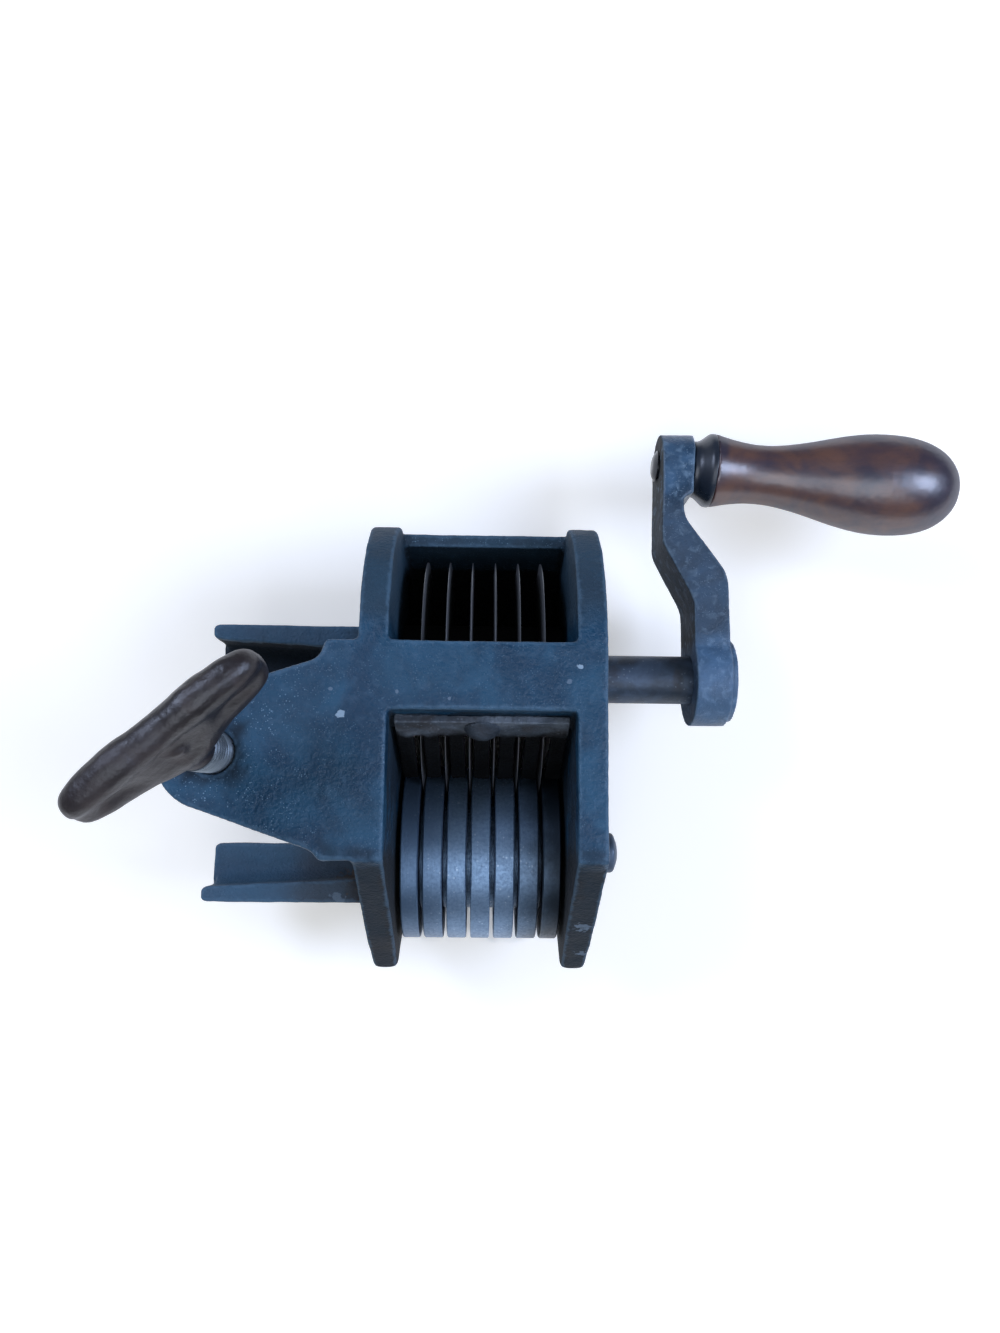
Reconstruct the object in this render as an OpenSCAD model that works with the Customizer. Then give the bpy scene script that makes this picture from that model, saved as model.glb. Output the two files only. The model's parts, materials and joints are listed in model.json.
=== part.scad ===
// Hand-cranked bean slicer, lying on its feed side with the clamp screw uppermost.
// All sizes are millimetres. X runs along the crank shaft towards the handle, Z is up.

/* [Blades] */
// Diameter of a slicing blade
blade_d = 62; // [56:1:66]
// Thickness of a blade
blade_t = 0.7; // [0.6:0.1:1.2]
// Width of the ground bevel round a blade
blade_bevel = 3; // [1:0.5:5]
// Distance from one blade to the next
blade_pitch = 6; // [5:0.25:8]
// Diameter of the spacers between the blades
spacer_d = 28; // [20:1:32]
// Room from the outer blades to the cheeks
end_room = 6.25; // [5:0.25:9]

/* [Roller] */
// Diameter of the grooved roller
roller_d = 45; // [42:0.2:52]
// How deep the blades reach into the roller
blade_overlap = 6.6; // [4:0.2:9]
// How far the roller's axis lies below the shaft's axis
roller_drop = 4.6; // [0:0.2:9]
// Room beside a blade in its groove
groove_side_gap = 0.2; // [0.2:0.05:0.6]
// Room under a blade in its groove
groove_end_gap = 1.2; // [0.6:0.1:3]
// Diameter of the roller's axle bolt
axle_d = 8; // [6:0.5:10]
// Diameter of the axle bolt's head
axle_head_d = 10.6; // [10:0.2:14]
// Height of the axle bolt's head
axle_head_h = 4.8; // [2:0.2:6]

/* [Casting] */
// Thickness of the two cheeks
cheek_t = 6.75; // [5:0.25:9]
// Height of the flat face above the shaft's axis
face_h = 49.6; // [46:0.2:60]
// Room between the blades and the hood
hood_gap = 2; // [1:0.25:4]
// Wall of the hood over the blades
hood_wall = 3.5; // [3:0.25:6]
// Height of the hood's edge above the shaft's axis
hood_edge_h = 13; // [8:0.5:18]
// How far the hood reaches over the feed mouth
hood_reach = 12; // [6:0.5:14]
// Upper edge of the cross band, measured from the shaft's axis
band_top = 2; // [0:0.25:6]
// Width of the cross band
band_w = 15.6; // [12:0.2:17]
// Thickness of the cross band
band_t = 5.6; // [4:0.2:7]
// How far the cheeks' nose stands out past the roller's axis
nose_reach = 31.8; // [28:0.2:38]
// Radius of the nose
nose_r = 6; // [3:0.5:8]
// Length of the apron plate under the roller
apron_l = 13; // [8:0.5:16]
// Thickness of the apron plate
apron_t = 4; // [3:0.25:5]
// Height of the bearing bosses on the crank side
boss_h = 3.9; // [2:0.1:8]
// Wall of the bearing bosses
boss_wall = 4; // [3:0.25:6]

/* [Comb] */
// Thickness of the stripper comb
comb_t = 2; // [1.5:0.1:3]
// Length of the stripper comb
comb_l = 35; // [30:0.5:37]
// Lean of the comb from upright, in degrees
comb_lean = 20; // [16:0.5:22]
// Room between a comb finger and a blade
comb_gap = 0.8; // [0.5:0.1:1.2]
// Diameter of the comb screw's domed head
comb_screw_d = 8.8; // [7:0.2:10]

/* [Clamp] */
// Distance of the clamp screw from the middle of the blades
clamp_reach = 59.1; // [54:0.1:66]
// Thickness of the tongue
tongue_t = 7.5; // [6:0.25:10]
// Radius of the tongue's round tip
tongue_tip_r = 13; // [11:0.25:15]
// Distance of the prong tips from the middle of the blades
prong_reach = 72.4; // [64:0.2:84]
// Width over both prongs
prong_span = 73.1; // [66:0.1:78]
// Width of a prong's flange
flange_w = 14.7; // [12:0.1:18]
// Thickness of a prong's flange and of its rib at the tip
prong_t = 4; // [3:0.25:5]
// Thickness of a prong's rib at the root
rib_root_t = 6.5; // [5:0.25:8]
// Height of a prong's rib above its flange
rib_h = 12; // [8:0.5:15]
// Height of the table seat above the shaft's axis
seat_h = 3.8; // [0:0.2:8]
// Diameter of the clamp screw
screw_d = 9.8; // [8:0.2:12]
// Height of the wing above the tongue
wing_h = 31; // [28:0.5:40]
// Length over both wings
wing_span = 46; // [40:1:60]
// Thickness of the wings along their upper edge
wing_t = 9.4; // [8:0.2:12]
// Thickness of the wings along their lower edge
ridge_t = 8.8; // [7:0.2:11]
// How far the wings stand off the screw's axis
wing_set = 2.1; // [0:0.1:3]
// Resting turn of the wings from the shaft's direction, in degrees
wing_turn = 41.2; // [0:0.1:90]
// Length of bare thread above the tongue at rest
thread_show = 13.9; // [10:0.1:16]
// Diameter of the swivel pad
pad_d = 22; // [18:0.5:26]
// Thickness of the swivel pad
pad_t = 4.5; // [4:0.25:7]
// Space for a table top at rest
table_gap = 20; // [14:0.5:24]

/* [Crank] */
// Diameter of the crank shaft
shaft_d = 13; // [11:0.5:16]
// Diameter of the small journal
journal_d = 8.8; // [6:0.2:9]
// Side of the square that drives the blades
square_w = 9; // [7.5:0.25:10]
// Space between the cheek and the crank
crank_gap = 28; // [16:0.5:36]
// Diameter of the crank's hub
hub_d = 25; // [22:0.5:30]
// Length of the crank's hub
hub_l = 11; // [9.5:0.25:16]
// Thickness of the crank's arm
arm_t = 9.4; // [7:0.2:10.4]
// Side step of the arm's bend
arm_step = 8.2; // [4:0.2:11]
// Width of the arm beside the hub
arm_w = 20; // [16:0.5:22]
// Diameter of the arm's round end
arm_end_d = 18; // [15:0.5:20]
// Length of the crank from shaft to spindle
crank_l = 60.2; // [54:0.1:72]
// Diameter of the taper pin through the hub
crank_pin_d = 4; // [3:0.25:5]

/* [Handle] */
// Length of the wooden grip
grip_l = 69.1; // [56:0.1:80]
// Diameter of the grip's bead
bead_d = 20.4; // [18:0.2:24]
// Diameter of the grip's neck
neck_d = 16.3; // [14:0.1:18]
// Distance of the neck from the bead's end
neck_at = 12.75; // [9:0.25:15]
// Diameter of the grip's belly
belly_d = 27.9; // [24:0.1:32]
// Distance of the belly from the bead's end
belly_at = 48; // [40:0.2:52]
// Length of the ferrule
ferrule_l = 6; // [4:0.25:8]
// Diameter of the ferrule at the arm
ferrule_d = 15.5; // [13:0.25:17.5]
// Diameter of the handle's spindle
spindle_d = 6.4; // [5:0.2:8]
// Diameter of the spindle's head
spindle_head_d = 9.6; // [9:0.2:11]
// Lean of the spindle towards the shaft's axis, in degrees
handle_lean = 4; // [0:0.5:6]

/* [Fits] */
// Radial room in a bearing
bearing_gap = 0.06; // [0.02:0.01:0.1]
// Radial room between pieces that are fixed together
fixed_gap = 0.03; // [0.01:0.01:0.05]
// End play of what turns
end_play = 0.25; // [0.1:0.05:0.4]

/* [Hidden] */
$fn = 64;
eps = 0.01;
cut = 1;
lap = 0.5;

iron_paint = "#2c3d49";
bare_iron = "#5a5b58";
steel = "#6f7d88";
blade_steel = "#4a5157";
forged_iron = "#4a413d";
walnut = "#4a2a20";
black_iron = "#1d2227";

// Across the machine, along X
blade_count = 6;
stack_w = (blade_count - 1) * blade_pitch;
inner_x = stack_w / 2 + end_room;
outer_x = inner_x + cheek_t;
stack_x = inner_x - end_play;
spacer_w = blade_pitch - blade_t;
collar_w = stack_x - stack_w / 2 - blade_t / 2;
roller_side_gap = 1.25;
roller_w = 2 * (inner_x - roller_side_gap);
boss_x = outer_x + boss_h;
hub_x = outer_x + crank_gap;

// Axes and levels, along Y and Z from the shaft's axis
blade_r = blade_d / 2;
blade_edge_t = 0.18;
roller_r = roller_d / 2;
axis_distance = blade_r + roller_r - blade_overlap;
roller_y = -sqrt(axis_distance * axis_distance - roller_drop * roller_drop);
roller_z = -roller_drop;
groove_r = axis_distance - blade_r - groove_end_gap;
groove_w = blade_t + 2 * groove_side_gap;
mid_y = roller_y / 2;
hood_in_r = blade_r + hood_gap;
hood_r = hood_in_r + hood_wall;
floor_z = -hood_r;
shoulder_land = 0.6;
shoulder_r = face_h - hood_edge_h - shoulder_land;
band_low = band_top - band_w;
band_back = face_h - band_t;
foot_past = 5.3;
foot_y = roller_y - foot_past;
foot_r = 4;
edge_r = 1.2;
cheek_points = [
    [roller_y, face_h, edge_r],
    [roller_y - nose_reach, roller_z, nose_r],
    [foot_y, floor_z, foot_r],
    [hood_r, floor_z, hood_r - eps],
    [hood_r, face_h, shoulder_r],
];
apron_y = foot_y + foot_r;
axle_dome_h = 1.2;
axle_boss_r = axle_d / 2 + boss_wall;
shaft_boss_r = shaft_d / 2 + boss_wall;

// Comb and the lip that carries it
lip_l = 8;
lip_t = 6;
comb_w = 2 * inner_x - 2 * roller_side_gap;
comb_root = 1;
comb_slot_at = lip_l + comb_root;
comb_slot_w = blade_t + 2 * comb_gap;
comb_screw_shift = 0.6;
comb_screw_at = lip_l / 2 + comb_screw_shift;
comb_thread_d = 4;
comb_head_h = 2.6;
comb_thread_l = 5;

// Clamp
tongue_root_h = -mid_y;
tongue_root_out = 2;
tongue_root_x = outer_x + tongue_root_out;
tongue_rise = tongue_root_x - clamp_reach;
tongue_slant = acos(tongue_tip_r / norm([tongue_rise, tongue_root_h]))
    - atan(-tongue_rise / tongue_root_h);
tongue_apex_x = clamp_reach + tongue_tip_r / sin(tongue_slant);
tongue_shoulder = 7.3;
shoulder_x = outer_x + tongue_shoulder;
notch_x = shoulder_x + 1;
notch_y = mid_y + tongue_root_h - (notch_x - tongue_root_x) * tan(tongue_slant);
notch_r = 4.2;
tongue_back = face_h - tongue_t;
flange_z = seat_h - rib_h;
prong_root_r = 14;
prong_fillet_r = 4.5;
pad_z = seat_h + table_gap;
pad_floor_t = 1.5;
pad_socket_l = pad_t - pad_floor_t;
pad_edge = 0.8;
pad_rim_h = 2.2;
pad_collar_t = 3;
tip_step = 1.5;
tip_d = screw_d - 2 * tip_step;
neck_step = 1;
neck_z = face_h + thread_show;
wing_z = face_h + wing_h;
wing_r = wing_t / 2;
lobe_taper = 0.9;
lobe_tip_r = wing_r - lobe_taper;
lobe_tip_at = wing_span / 2 - lobe_tip_r;
lobe_waist = 0.9;
lobe_root_r = wing_r - lobe_waist;
lobe_root_at = 2;
lobe_crown = 0.6;
lobe_crown_at = 0.6 * lobe_tip_at;
ridge_r = ridge_t / 2;
ridge_drop = 9;
ridge_root_at = 3;
ridge_root_h = 5.5;
ridge_taper = 0.8;
ridge_tip_at = lobe_tip_at - 2 * ridge_taper;
web_relief = 1.5;
web_t = wing_t - 2 * web_relief;
web_root = 2;
neck_top = wing_z - lobe_root_r;

// Crank
hub_r = hub_d / 2;
arm_end_r = arm_end_d / 2;
spindle_x = hub_x - arm_step + arm_t / 2;
bend_from_hub = 8;
bend_low = hub_r + bend_from_hub;
bend_from_end = 14.7;
bend_high = crank_l - arm_end_r - bend_from_end;
bend_step = 7;
arm_notch = 2.6;
arm_notch_drop = 1.6;
arm_notch_r = 1.5;
arm_lip_r = 0.8;
arm_land = 0.6;
arm_waist = 1.4;
low_bend_r = 10;
high_bend_r = 8;
hub_step = 1.2;
shaft_proud = 0.6;
shaft_end_x = hub_x + hub_l + shaft_proud;
crank_pin_x = hub_x + hub_l / 2;
collar_pin_d = 3;
collar_pin_x = -(stack_x - collar_w / 2);

// Handle, measured along the spindle from the middle of the arm
ferrule_at = arm_t / 2 + end_play;
grip_at = ferrule_at + ferrule_l;
belly_r = belly_d / 2;
round_l = grip_l - belly_at;
round_power = 2.4;
round_root = 0.45;
head_room = 0.3;
head_pocket_r = spindle_head_d / 2 + head_room;
pocket_at = grip_at + belly_at + round_l * round_reach(head_pocket_r / belly_r);
spindle_head_h = 2;
spindle_dome_h = 0.7;
rivet_h = 1.2;
rivet_rim = 1.2;
rivet_r = spindle_d / 2 + rivet_rim;
ferrule_edge = 0.6;
ferrule_rim = 1;
ferrule_bead = 0.7;
grip_steps = 40;

// The part stands on its feed side with the middle of its box over the origin
low_x = -clamp_reach - lobe_tip_at * cos(wing_turn) - wing_set * sin(wing_turn) - lobe_tip_r;
high_x = spindle_x + (pocket_at + spindle_dome_h) * cos(handle_lean);
low_y = corner(cheek_points, 1)[2].x - nose_r;
belly_y = crank_l - (grip_at + belly_at) * sin(handle_lean) + belly_r;
high_y = max(crank_l + arm_end_r, belly_y);
centre_x = (low_x + high_x) / 2;
centre_y = (low_y + high_y) / 2;

// Shared shapes
function flat(p) = [p.x, p.y];
function unit(v) = v / norm(v);

// Corner of a closed outline: start and end of its arc, the arc's centre, and if it bulges out
function corner(points, i) =
    let (n = len(points), p = points[i], here = flat(p),
        back = unit(flat(points[(i + n - 1) % n]) - here),
        ahead = unit(flat(points[(i + 1) % n]) - here),
        half = acos(back * ahead) / 2,
        run = p.z / tan(half))
    [here + back * run, here + ahead * run,
        here + unit(back + ahead) * (p.z / sin(half)), cross(ahead, back) > 0];

// Closed outline through [x, y, radius] points, anticlockwise
module outline(points) {
    last = len(points) - 1;
    corners = [for (i = [0 : last]) corner(points, i)];
    polygon([for (i = [0 : last])
        each points[i].z > 0 && corners[i][3] ? [corners[i][0], corners[i][1]] : [flat(points[i])]]);
    for (i = [0 : last])
        if (points[i].z > 0) corner_patch(flat(points[i]), corners[i], points[i].z);
}

// What a rounded corner adds: the bulge of an outer one, the fillet of an inner one
module corner_patch(tip, bend, r) {
    inward = unit(bend[2] - tip) * lap;
    if (bend[3]) intersection() {
        translate(bend[2]) circle(r);
        polygon([bend[0], tip, bend[1], (bend[0] + bend[1]) / 2 + inward]);
    }
    else difference() {
        polygon([bend[0], tip - inward, bend[1]]);
        translate(bend[2]) circle(r);
    }
}

module placed() {
    translate([-centre_x, -centre_y, -floor_z]) children();
}

// A [y, z] outline drawn out along X from x
module along_x(x, l) {
    translate([x, 0, 0]) rotate([90, 0, 90]) linear_extrude(l) children();
}

// An [x, z] outline drawn out along Y from y
module along_y(y, l) {
    translate([0, y + l, 0]) rotate([90, 0, 0]) linear_extrude(l) children();
}

// A round bar along X from x
module rod(x, l, r) {
    translate([x, 0, 0]) rotate([0, 90, 0]) cylinder(h = l, r = r);
}

module at_roller() {
    translate([0, roller_y, roller_z]) children();
}

module at_comb() {
    translate([0, band_low, band_back]) rotate([-comb_lean, 0, 0]) children();
}

module at_screw() {
    translate([-clamp_reach, mid_y, 0]) children();
}

// The spindle's direction becomes local Z, measured from the middle of the arm
module at_spindle() {
    translate([spindle_x, crank_l, 0]) rotate([0, 0, -handle_lean]) rotate([0, 90, 0]) children();
}

// Casting
module cheek_outline() {
    outline(cheek_points);
}

module cheeks() {
    along_x(inner_x, cheek_t) cheek_outline();
    along_x(-outer_x, cheek_t) cheek_outline();
}

module hood() {
    along_x(-inner_x - cut, 2 * (inner_x + cut)) difference() {
        intersection() {
            cheek_outline();
            translate([-hood_reach, floor_z]) square([hood_reach + hood_r, hood_edge_h - floor_z]);
        }
        circle(hood_in_r);
        translate([-hood_reach - cut, 0]) square([hood_reach + cut + hood_in_r, hood_edge_h + cut]);
    }
}

module band() {
    translate([-inner_x - cut, band_low, band_back]) cube([2 * (inner_x + cut), band_w, band_t]);
    at_comb() translate([-inner_x - cut, 0, -lip_l])
        cube([2 * (inner_x + cut), lip_t, lip_l + sin(comb_lean) * lip_t + edge_r]);
}

module apron() {
    translate([-inner_x - cut, apron_y, floor_z]) cube([2 * (inner_x + cut), apron_l, apron_t]);
}

module tongue() {
    translate([0, 0, tongue_back]) linear_extrude(tongue_t) outline([
        [-inner_x - cut, band_top, 0],
        [-shoulder_x, band_top, edge_r],
        [-notch_x, notch_y, notch_r],
        [-tongue_apex_x, mid_y, tongue_tip_r],
        [-notch_x, 2 * mid_y - notch_y, notch_r],
        [-shoulder_x, mid_y - tongue_root_h, edge_r],
        [-inner_x - cut, mid_y - tongue_root_h, 0],
    ]);
}

// One prong, on the +Y side of the clamp's middle line
module prong() {
    outer_y = prong_span / 2;
    root_x = outer_x - cut;
    slant = atan((rib_root_t - prong_t) / (prong_reach - outer_x));
    translate([0, 0, flange_z - prong_t]) linear_extrude(prong_t) outline([
        [-root_x, outer_y - flange_w, 0],
        [-root_x, outer_y, 0],
        [-prong_reach, outer_y, edge_r],
        [-prong_reach, outer_y - flange_w, edge_r],
    ]);
    translate([0, 0, flange_z - prong_t]) linear_extrude(prong_t + rib_h) outline([
        [-root_x, outer_y - rib_root_t, 0],
        [-root_x, outer_y, 0],
        [-prong_reach, outer_y, edge_r],
        [-prong_reach, outer_y - prong_t, edge_r],
    ]);
    translate([-prong_reach + edge_r, outer_y - prong_t, flange_z]) rotate([0, 0, -slant])
        rotate([90, 0, 90]) linear_extrude(prong_reach - outer_x) difference() {
            translate([-prong_fillet_r, -eps]) square([prong_fillet_r + eps, prong_fillet_r + eps]);
            translate([-prong_fillet_r, prong_fillet_r]) circle(prong_fillet_r);
        }
    along_y(outer_y - flange_w, flange_w) difference() {
        translate([-outer_x - prong_root_r, flange_z - eps])
            square([prong_root_r + cut, prong_root_r + eps]);
        translate([-outer_x - prong_root_r, flange_z + prong_root_r]) circle(prong_root_r);
    }
}

module prongs() {
    translate([0, mid_y, 0]) {
        prong();
        mirror([0, 1, 0]) prong();
    }
}

module frame_bores() {
    rod(inner_x - cut, cheek_t + boss_h + 2 * cut, shaft_d / 2 + bearing_gap);
    rod(-outer_x - cut, cheek_t + 2 * cut, journal_d / 2 + bearing_gap);
    at_roller() rod(-outer_x - cut, 2 * outer_x + boss_h + 2 * cut, axle_d / 2 + fixed_gap);
    at_screw() translate([0, 0, tongue_back - cut])
        cylinder(h = tongue_t + 2 * cut, r = screw_d / 2 + bearing_gap);
    at_comb() translate([0, -cut, -comb_screw_at]) rotate([-90, 0, 0])
        cylinder(h = comb_thread_l + cut - comb_t + eps, r = comb_thread_d / 2 + fixed_gap);
}

module frame_casting() {
    color(iron_paint) placed() difference() {
        union() {
            cheeks();
            hood();
            band();
            apron();
            tongue();
            prongs();
            rod(outer_x - cut, boss_h + cut, shaft_boss_r);
            at_roller() rod(outer_x - cut, boss_h + cut, axle_boss_r);
        }
        frame_bores();
    }
}

module stripper_comb() {
    color(bare_iron) placed() at_comb() difference() {
        translate([-comb_w / 2, -comb_t, -comb_l]) cube([comb_w, comb_t, comb_l - edge_r]);
        for (i = [0 : blade_count - 1])
            translate([blade_x(i + 1) - comb_slot_w / 2, -comb_t - cut, -comb_l - cut])
                cube([comb_slot_w, comb_t + 2 * cut, comb_l + cut - comb_slot_at]);
        translate([0, cut, -comb_screw_at]) rotate([90, 0, 0])
            cylinder(h = comb_t + 2 * cut, r = comb_thread_d / 2 + fixed_gap);
    }
}

// Radius of the ball whose cap has this radius and height
function cap_ball_r(r, h) = (r * r + h * h) / (2 * h);

// Domed cap of radius r and height h, standing on Z = 0
module dome(r, h) {
    ball_r = cap_ball_r(r, h);
    intersection() {
        translate([0, 0, h - ball_r]) sphere(ball_r);
        cylinder(h = h + cut, r = r + cut);
    }
}

module comb_screw() {
    color(bare_iron) placed() at_comb() translate([0, -comb_t, -comb_screw_at]) rotate([90, 0, 0]) {
        dome(comb_screw_d / 2, comb_head_h);
        translate([0, 0, -comb_thread_l]) cylinder(h = comb_thread_l + eps, r = comb_thread_d / 2);
    }
}

module roller_axle() {
    color(black_iron) placed() at_roller() {
        rod(-outer_x, outer_x + boss_x, axle_d / 2);
        rod(boss_x, axle_head_h - axle_dome_h, axle_head_d / 2);
        translate([boss_x + axle_head_h - axle_dome_h, 0, 0]) rotate([0, 90, 0])
            dome(axle_head_d / 2, axle_dome_h);
    }
}

function blade_x(i) = (i - (blade_count + 1) / 2) * blade_pitch;

module grooved_roller() {
    color(steel) placed() at_roller() difference() {
        rod(-roller_w / 2, roller_w, roller_r);
        for (i = [1 : blade_count])
            difference() {
                rod(blade_x(i) - groove_w / 2, groove_w, roller_r + cut);
                rod(blade_x(i) - groove_w, 2 * groove_w, groove_r);
            }
        rod(-roller_w / 2 - cut, roller_w + 2 * cut, axle_d / 2 + bearing_gap);
    }
}

// Slicing rotor
module crank_shaft() {
    color(forged_iron) placed() difference() {
        union() {
            rod(stack_x, shaft_end_x - stack_x, shaft_d / 2);
            translate([-stack_x, -square_w / 2, -square_w / 2]) cube([2 * stack_x + eps, square_w, square_w]);
            rod(-outer_x, outer_x - stack_x + eps, journal_d / 2);
        }
        translate([crank_pin_x, 0, -shaft_d]) cylinder(h = 2 * shaft_d, r = crank_pin_d / 2 + fixed_gap);
        translate([collar_pin_x, 0, -shaft_d]) cylinder(h = 2 * shaft_d, r = collar_pin_d / 2 + fixed_gap);
    }
}

module square_hole(x, l) {
    side = square_w + 2 * fixed_gap;
    translate([x - cut, -side / 2, -side / 2]) cube([l + 2 * cut, side, side]);
}

module blade(i) {
    x = blade_x(i) - blade_t / 2;
    color(blade_steel) placed() difference() {
        translate([x, 0, 0]) rotate([0, 90, 0]) rotate_extrude() polygon([
            [0, 0],
            [blade_r - blade_bevel, 0],
            [blade_r, (blade_t - blade_edge_t) / 2],
            [blade_r, (blade_t + blade_edge_t) / 2],
            [blade_r - blade_bevel, blade_t],
            [0, blade_t],
        ]);
        square_hole(x, blade_t);
    }
}

module spacer(i) {
    x = blade_x(i) + blade_t / 2;
    color(bare_iron) placed() difference() {
        rod(x, spacer_w, spacer_d / 2);
        square_hole(x, spacer_w);
    }
}

module end_collar(x) {
    difference() {
        rod(x, collar_w, spacer_d / 2);
        square_hole(x, collar_w);
    }
}

module end_collar_left() {
    color(bare_iron) placed() difference() {
        end_collar(-stack_x);
        translate([collar_pin_x, 0, -spacer_d])
            cylinder(h = 2 * spacer_d, r = collar_pin_d / 2 + fixed_gap);
    }
}

module end_collar_right() {
    color(bare_iron) placed() end_collar(stack_x - collar_w);
}

module collar_pin() {
    color(steel) placed() translate([collar_pin_x, 0, -spacer_d / 2 + edge_r])
        cylinder(h = spacer_d - 2 * edge_r, r = collar_pin_d / 2);
}

// Side view of the arm, with the bend that carries its end back over the cheek
module arm_side() {
    end_low = -arm_end_r - arm_land;
    function at_end(x, y) = [
        spindle_x + x * cos(handle_lean) + y * sin(handle_lean),
        crank_l - x * sin(handle_lean) + y * cos(handle_lean),
    ];
    throat = at_end(arm_t / 2 - arm_notch, end_low - arm_notch_drop);
    lip = at_end(arm_t / 2, end_low);
    tip_out = at_end(arm_t / 2, arm_end_r + cut);
    tip_in = at_end(-arm_t / 2, arm_end_r + cut);
    outline([
        [hub_x, -hub_r - cut, 0],
        [hub_x + arm_t, -hub_r - cut, 0],
        [hub_x + arm_t, bend_low + bend_step, low_bend_r],
        [spindle_x + arm_waist, bend_high + bend_step, high_bend_r],
        [throat.x, throat.y, arm_notch_r],
        [lip.x, lip.y, arm_lip_r],
        [tip_out.x, tip_out.y, 0],
        [tip_in.x, tip_in.y, 0],
        [spindle_x - arm_t / 2, bend_high, high_bend_r],
        [hub_x, bend_low, low_bend_r],
    ]);
}

// Face of the arm, from the round hub to the round end
module arm_face() {
    circle(hub_r);
    translate([crank_l, 0]) circle(arm_end_r);
    polygon([
        [0, -arm_w / 2],
        [crank_l, -arm_end_r],
        [crank_l, arm_end_r],
        [0, arm_w / 2],
    ]);
}

module crank_arm() {
    color(iron_paint) placed() difference() {
        union() {
            intersection() {
                translate([0, 0, -hub_r]) linear_extrude(2 * hub_r) arm_side();
                along_x(spindle_x - 2 * arm_t, 5 * arm_t) arm_face();
            }
            rod(hub_x + arm_t - eps, hub_l - arm_t + eps, hub_r - hub_step);
        }
        rod(hub_x - cut, hub_l + 2 * cut, shaft_d / 2 + fixed_gap);
        at_spindle() translate([0, 0, -arm_t]) cylinder(h = 2 * arm_t, r = spindle_d / 2 + fixed_gap);
        translate([crank_pin_x, 0, -hub_d]) cylinder(h = 2 * hub_d, r = crank_pin_d / 2 + fixed_gap);
    }
}

module crank_pin() {
    color(steel) placed() translate([crank_pin_x, 0, -hub_r]) cylinder(h = 2 * hub_r, r = crank_pin_d / 2);
}

// Handle
module handle_spindle() {
    color(black_iron) placed() at_spindle() {
        translate([0, 0, -arm_t / 2 - eps])
            cylinder(h = pocket_at - spindle_head_h + arm_t / 2 + 2 * eps, r = spindle_d / 2);
        translate([0, 0, -arm_t / 2]) mirror([0, 0, 1]) dome(rivet_r, rivet_h);
        translate([0, 0, pocket_at - spindle_head_h]) cylinder(h = spindle_head_h, r = spindle_head_d / 2);
        translate([0, 0, pocket_at - eps]) dome(spindle_head_d / 2, spindle_dome_h);
    }
}

module handle_ferrule() {
    inner_r = spindle_d / 2 + bearing_gap;
    color(black_iron) placed() at_spindle() translate([0, 0, ferrule_at]) rotate_extrude() polygon([
        [inner_r, 0],
        [ferrule_d / 2 - ferrule_edge, 0],
        [ferrule_d / 2, ferrule_edge],
        [ferrule_d / 2, ferrule_edge + ferrule_rim],
        [bead_d / 2 - ferrule_edge, ferrule_l - 2 * ferrule_bead],
        [bead_d / 2, ferrule_l - ferrule_bead],
        [bead_d / 2, ferrule_l],
        [inner_r, ferrule_l],
    ]);
}

// How far along the grip's round end its radius has fallen to this share of the belly
function round_reach(share) = pow(1 - pow(share, 1 / round_root), 1 / round_power);

// Radius of the grip at a distance from the bead's end
function grip_r(s) =
    s < neck_at ? neck_d / 2 + (bead_d - neck_d) / 2 * (1 - sin(90 * s / neck_at))
    : s < belly_at ? neck_d / 2
        + (belly_d - neck_d) / 4 * (1 - cos(180 * (s - neck_at) / (belly_at - neck_at)))
    : belly_r * pow(1 - pow((s - belly_at) / round_l, round_power), round_root);

module handle_grip() {
    inner_r = spindle_d / 2 + bearing_gap;
    end_s = pocket_at - grip_at;
    head_at = end_s - spindle_head_h - end_play;
    color(walnut) placed() at_spindle() translate([0, 0, grip_at]) rotate_extrude() polygon(concat(
        [[inner_r, 0]],
        [for (i = [0 : grip_steps]) let (s = end_s * sin(90 * i / grip_steps)) [grip_r(s), s]],
        [[head_pocket_r, head_at], [inner_r, head_at]]
    ));
}

// Clamp
module clamp_screw() {
    color(forged_iron) placed() at_screw() {
        translate([0, 0, pad_z + pad_t - pad_socket_l + end_play])
            cylinder(h = pad_socket_l + eps, r = tip_d / 2);
        translate([0, 0, pad_z + pad_t + end_play])
            cylinder(h = neck_z - pad_z - pad_t, r = screw_d / 2);
        rotate([0, 0, wing_turn]) {
            translate([0, 0, neck_z])
                cylinder(h = neck_top - neck_z, r1 = screw_d / 2 + neck_step, r2 = lobe_root_r);
            for (side = [-1, 1]) {
                hull() {
                    wing_ball(side * lobe_root_at, wing_z, lobe_root_r);
                    wing_ball(side * lobe_crown_at, wing_z + lobe_crown, wing_r);
                    wing_ball(side * lobe_tip_at, wing_z, lobe_tip_r);
                }
                hull() {
                    wing_ball(side * ridge_root_at, neck_z + ridge_root_h, ridge_r);
                    wing_ball(side * ridge_tip_at, wing_z - ridge_drop, ridge_r - ridge_taper);
                }
            }
            translate([0, wing_set + web_t / 2, 0]) rotate([90, 0, 0]) linear_extrude(web_t) polygon([
                [-screw_d / 2, neck_z + web_root],
                [screw_d / 2, neck_z + web_root],
                [ridge_tip_at, wing_z - ridge_drop],
                [lobe_tip_at, wing_z],
                [-lobe_tip_at, wing_z],
                [-ridge_tip_at, wing_z - ridge_drop],
            ]);
        }
    }
}

// Ball on the wings' middle plane
module wing_ball(x, z, r) {
    translate([x, wing_set, z]) sphere(r, $fn = 32);
}

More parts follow.
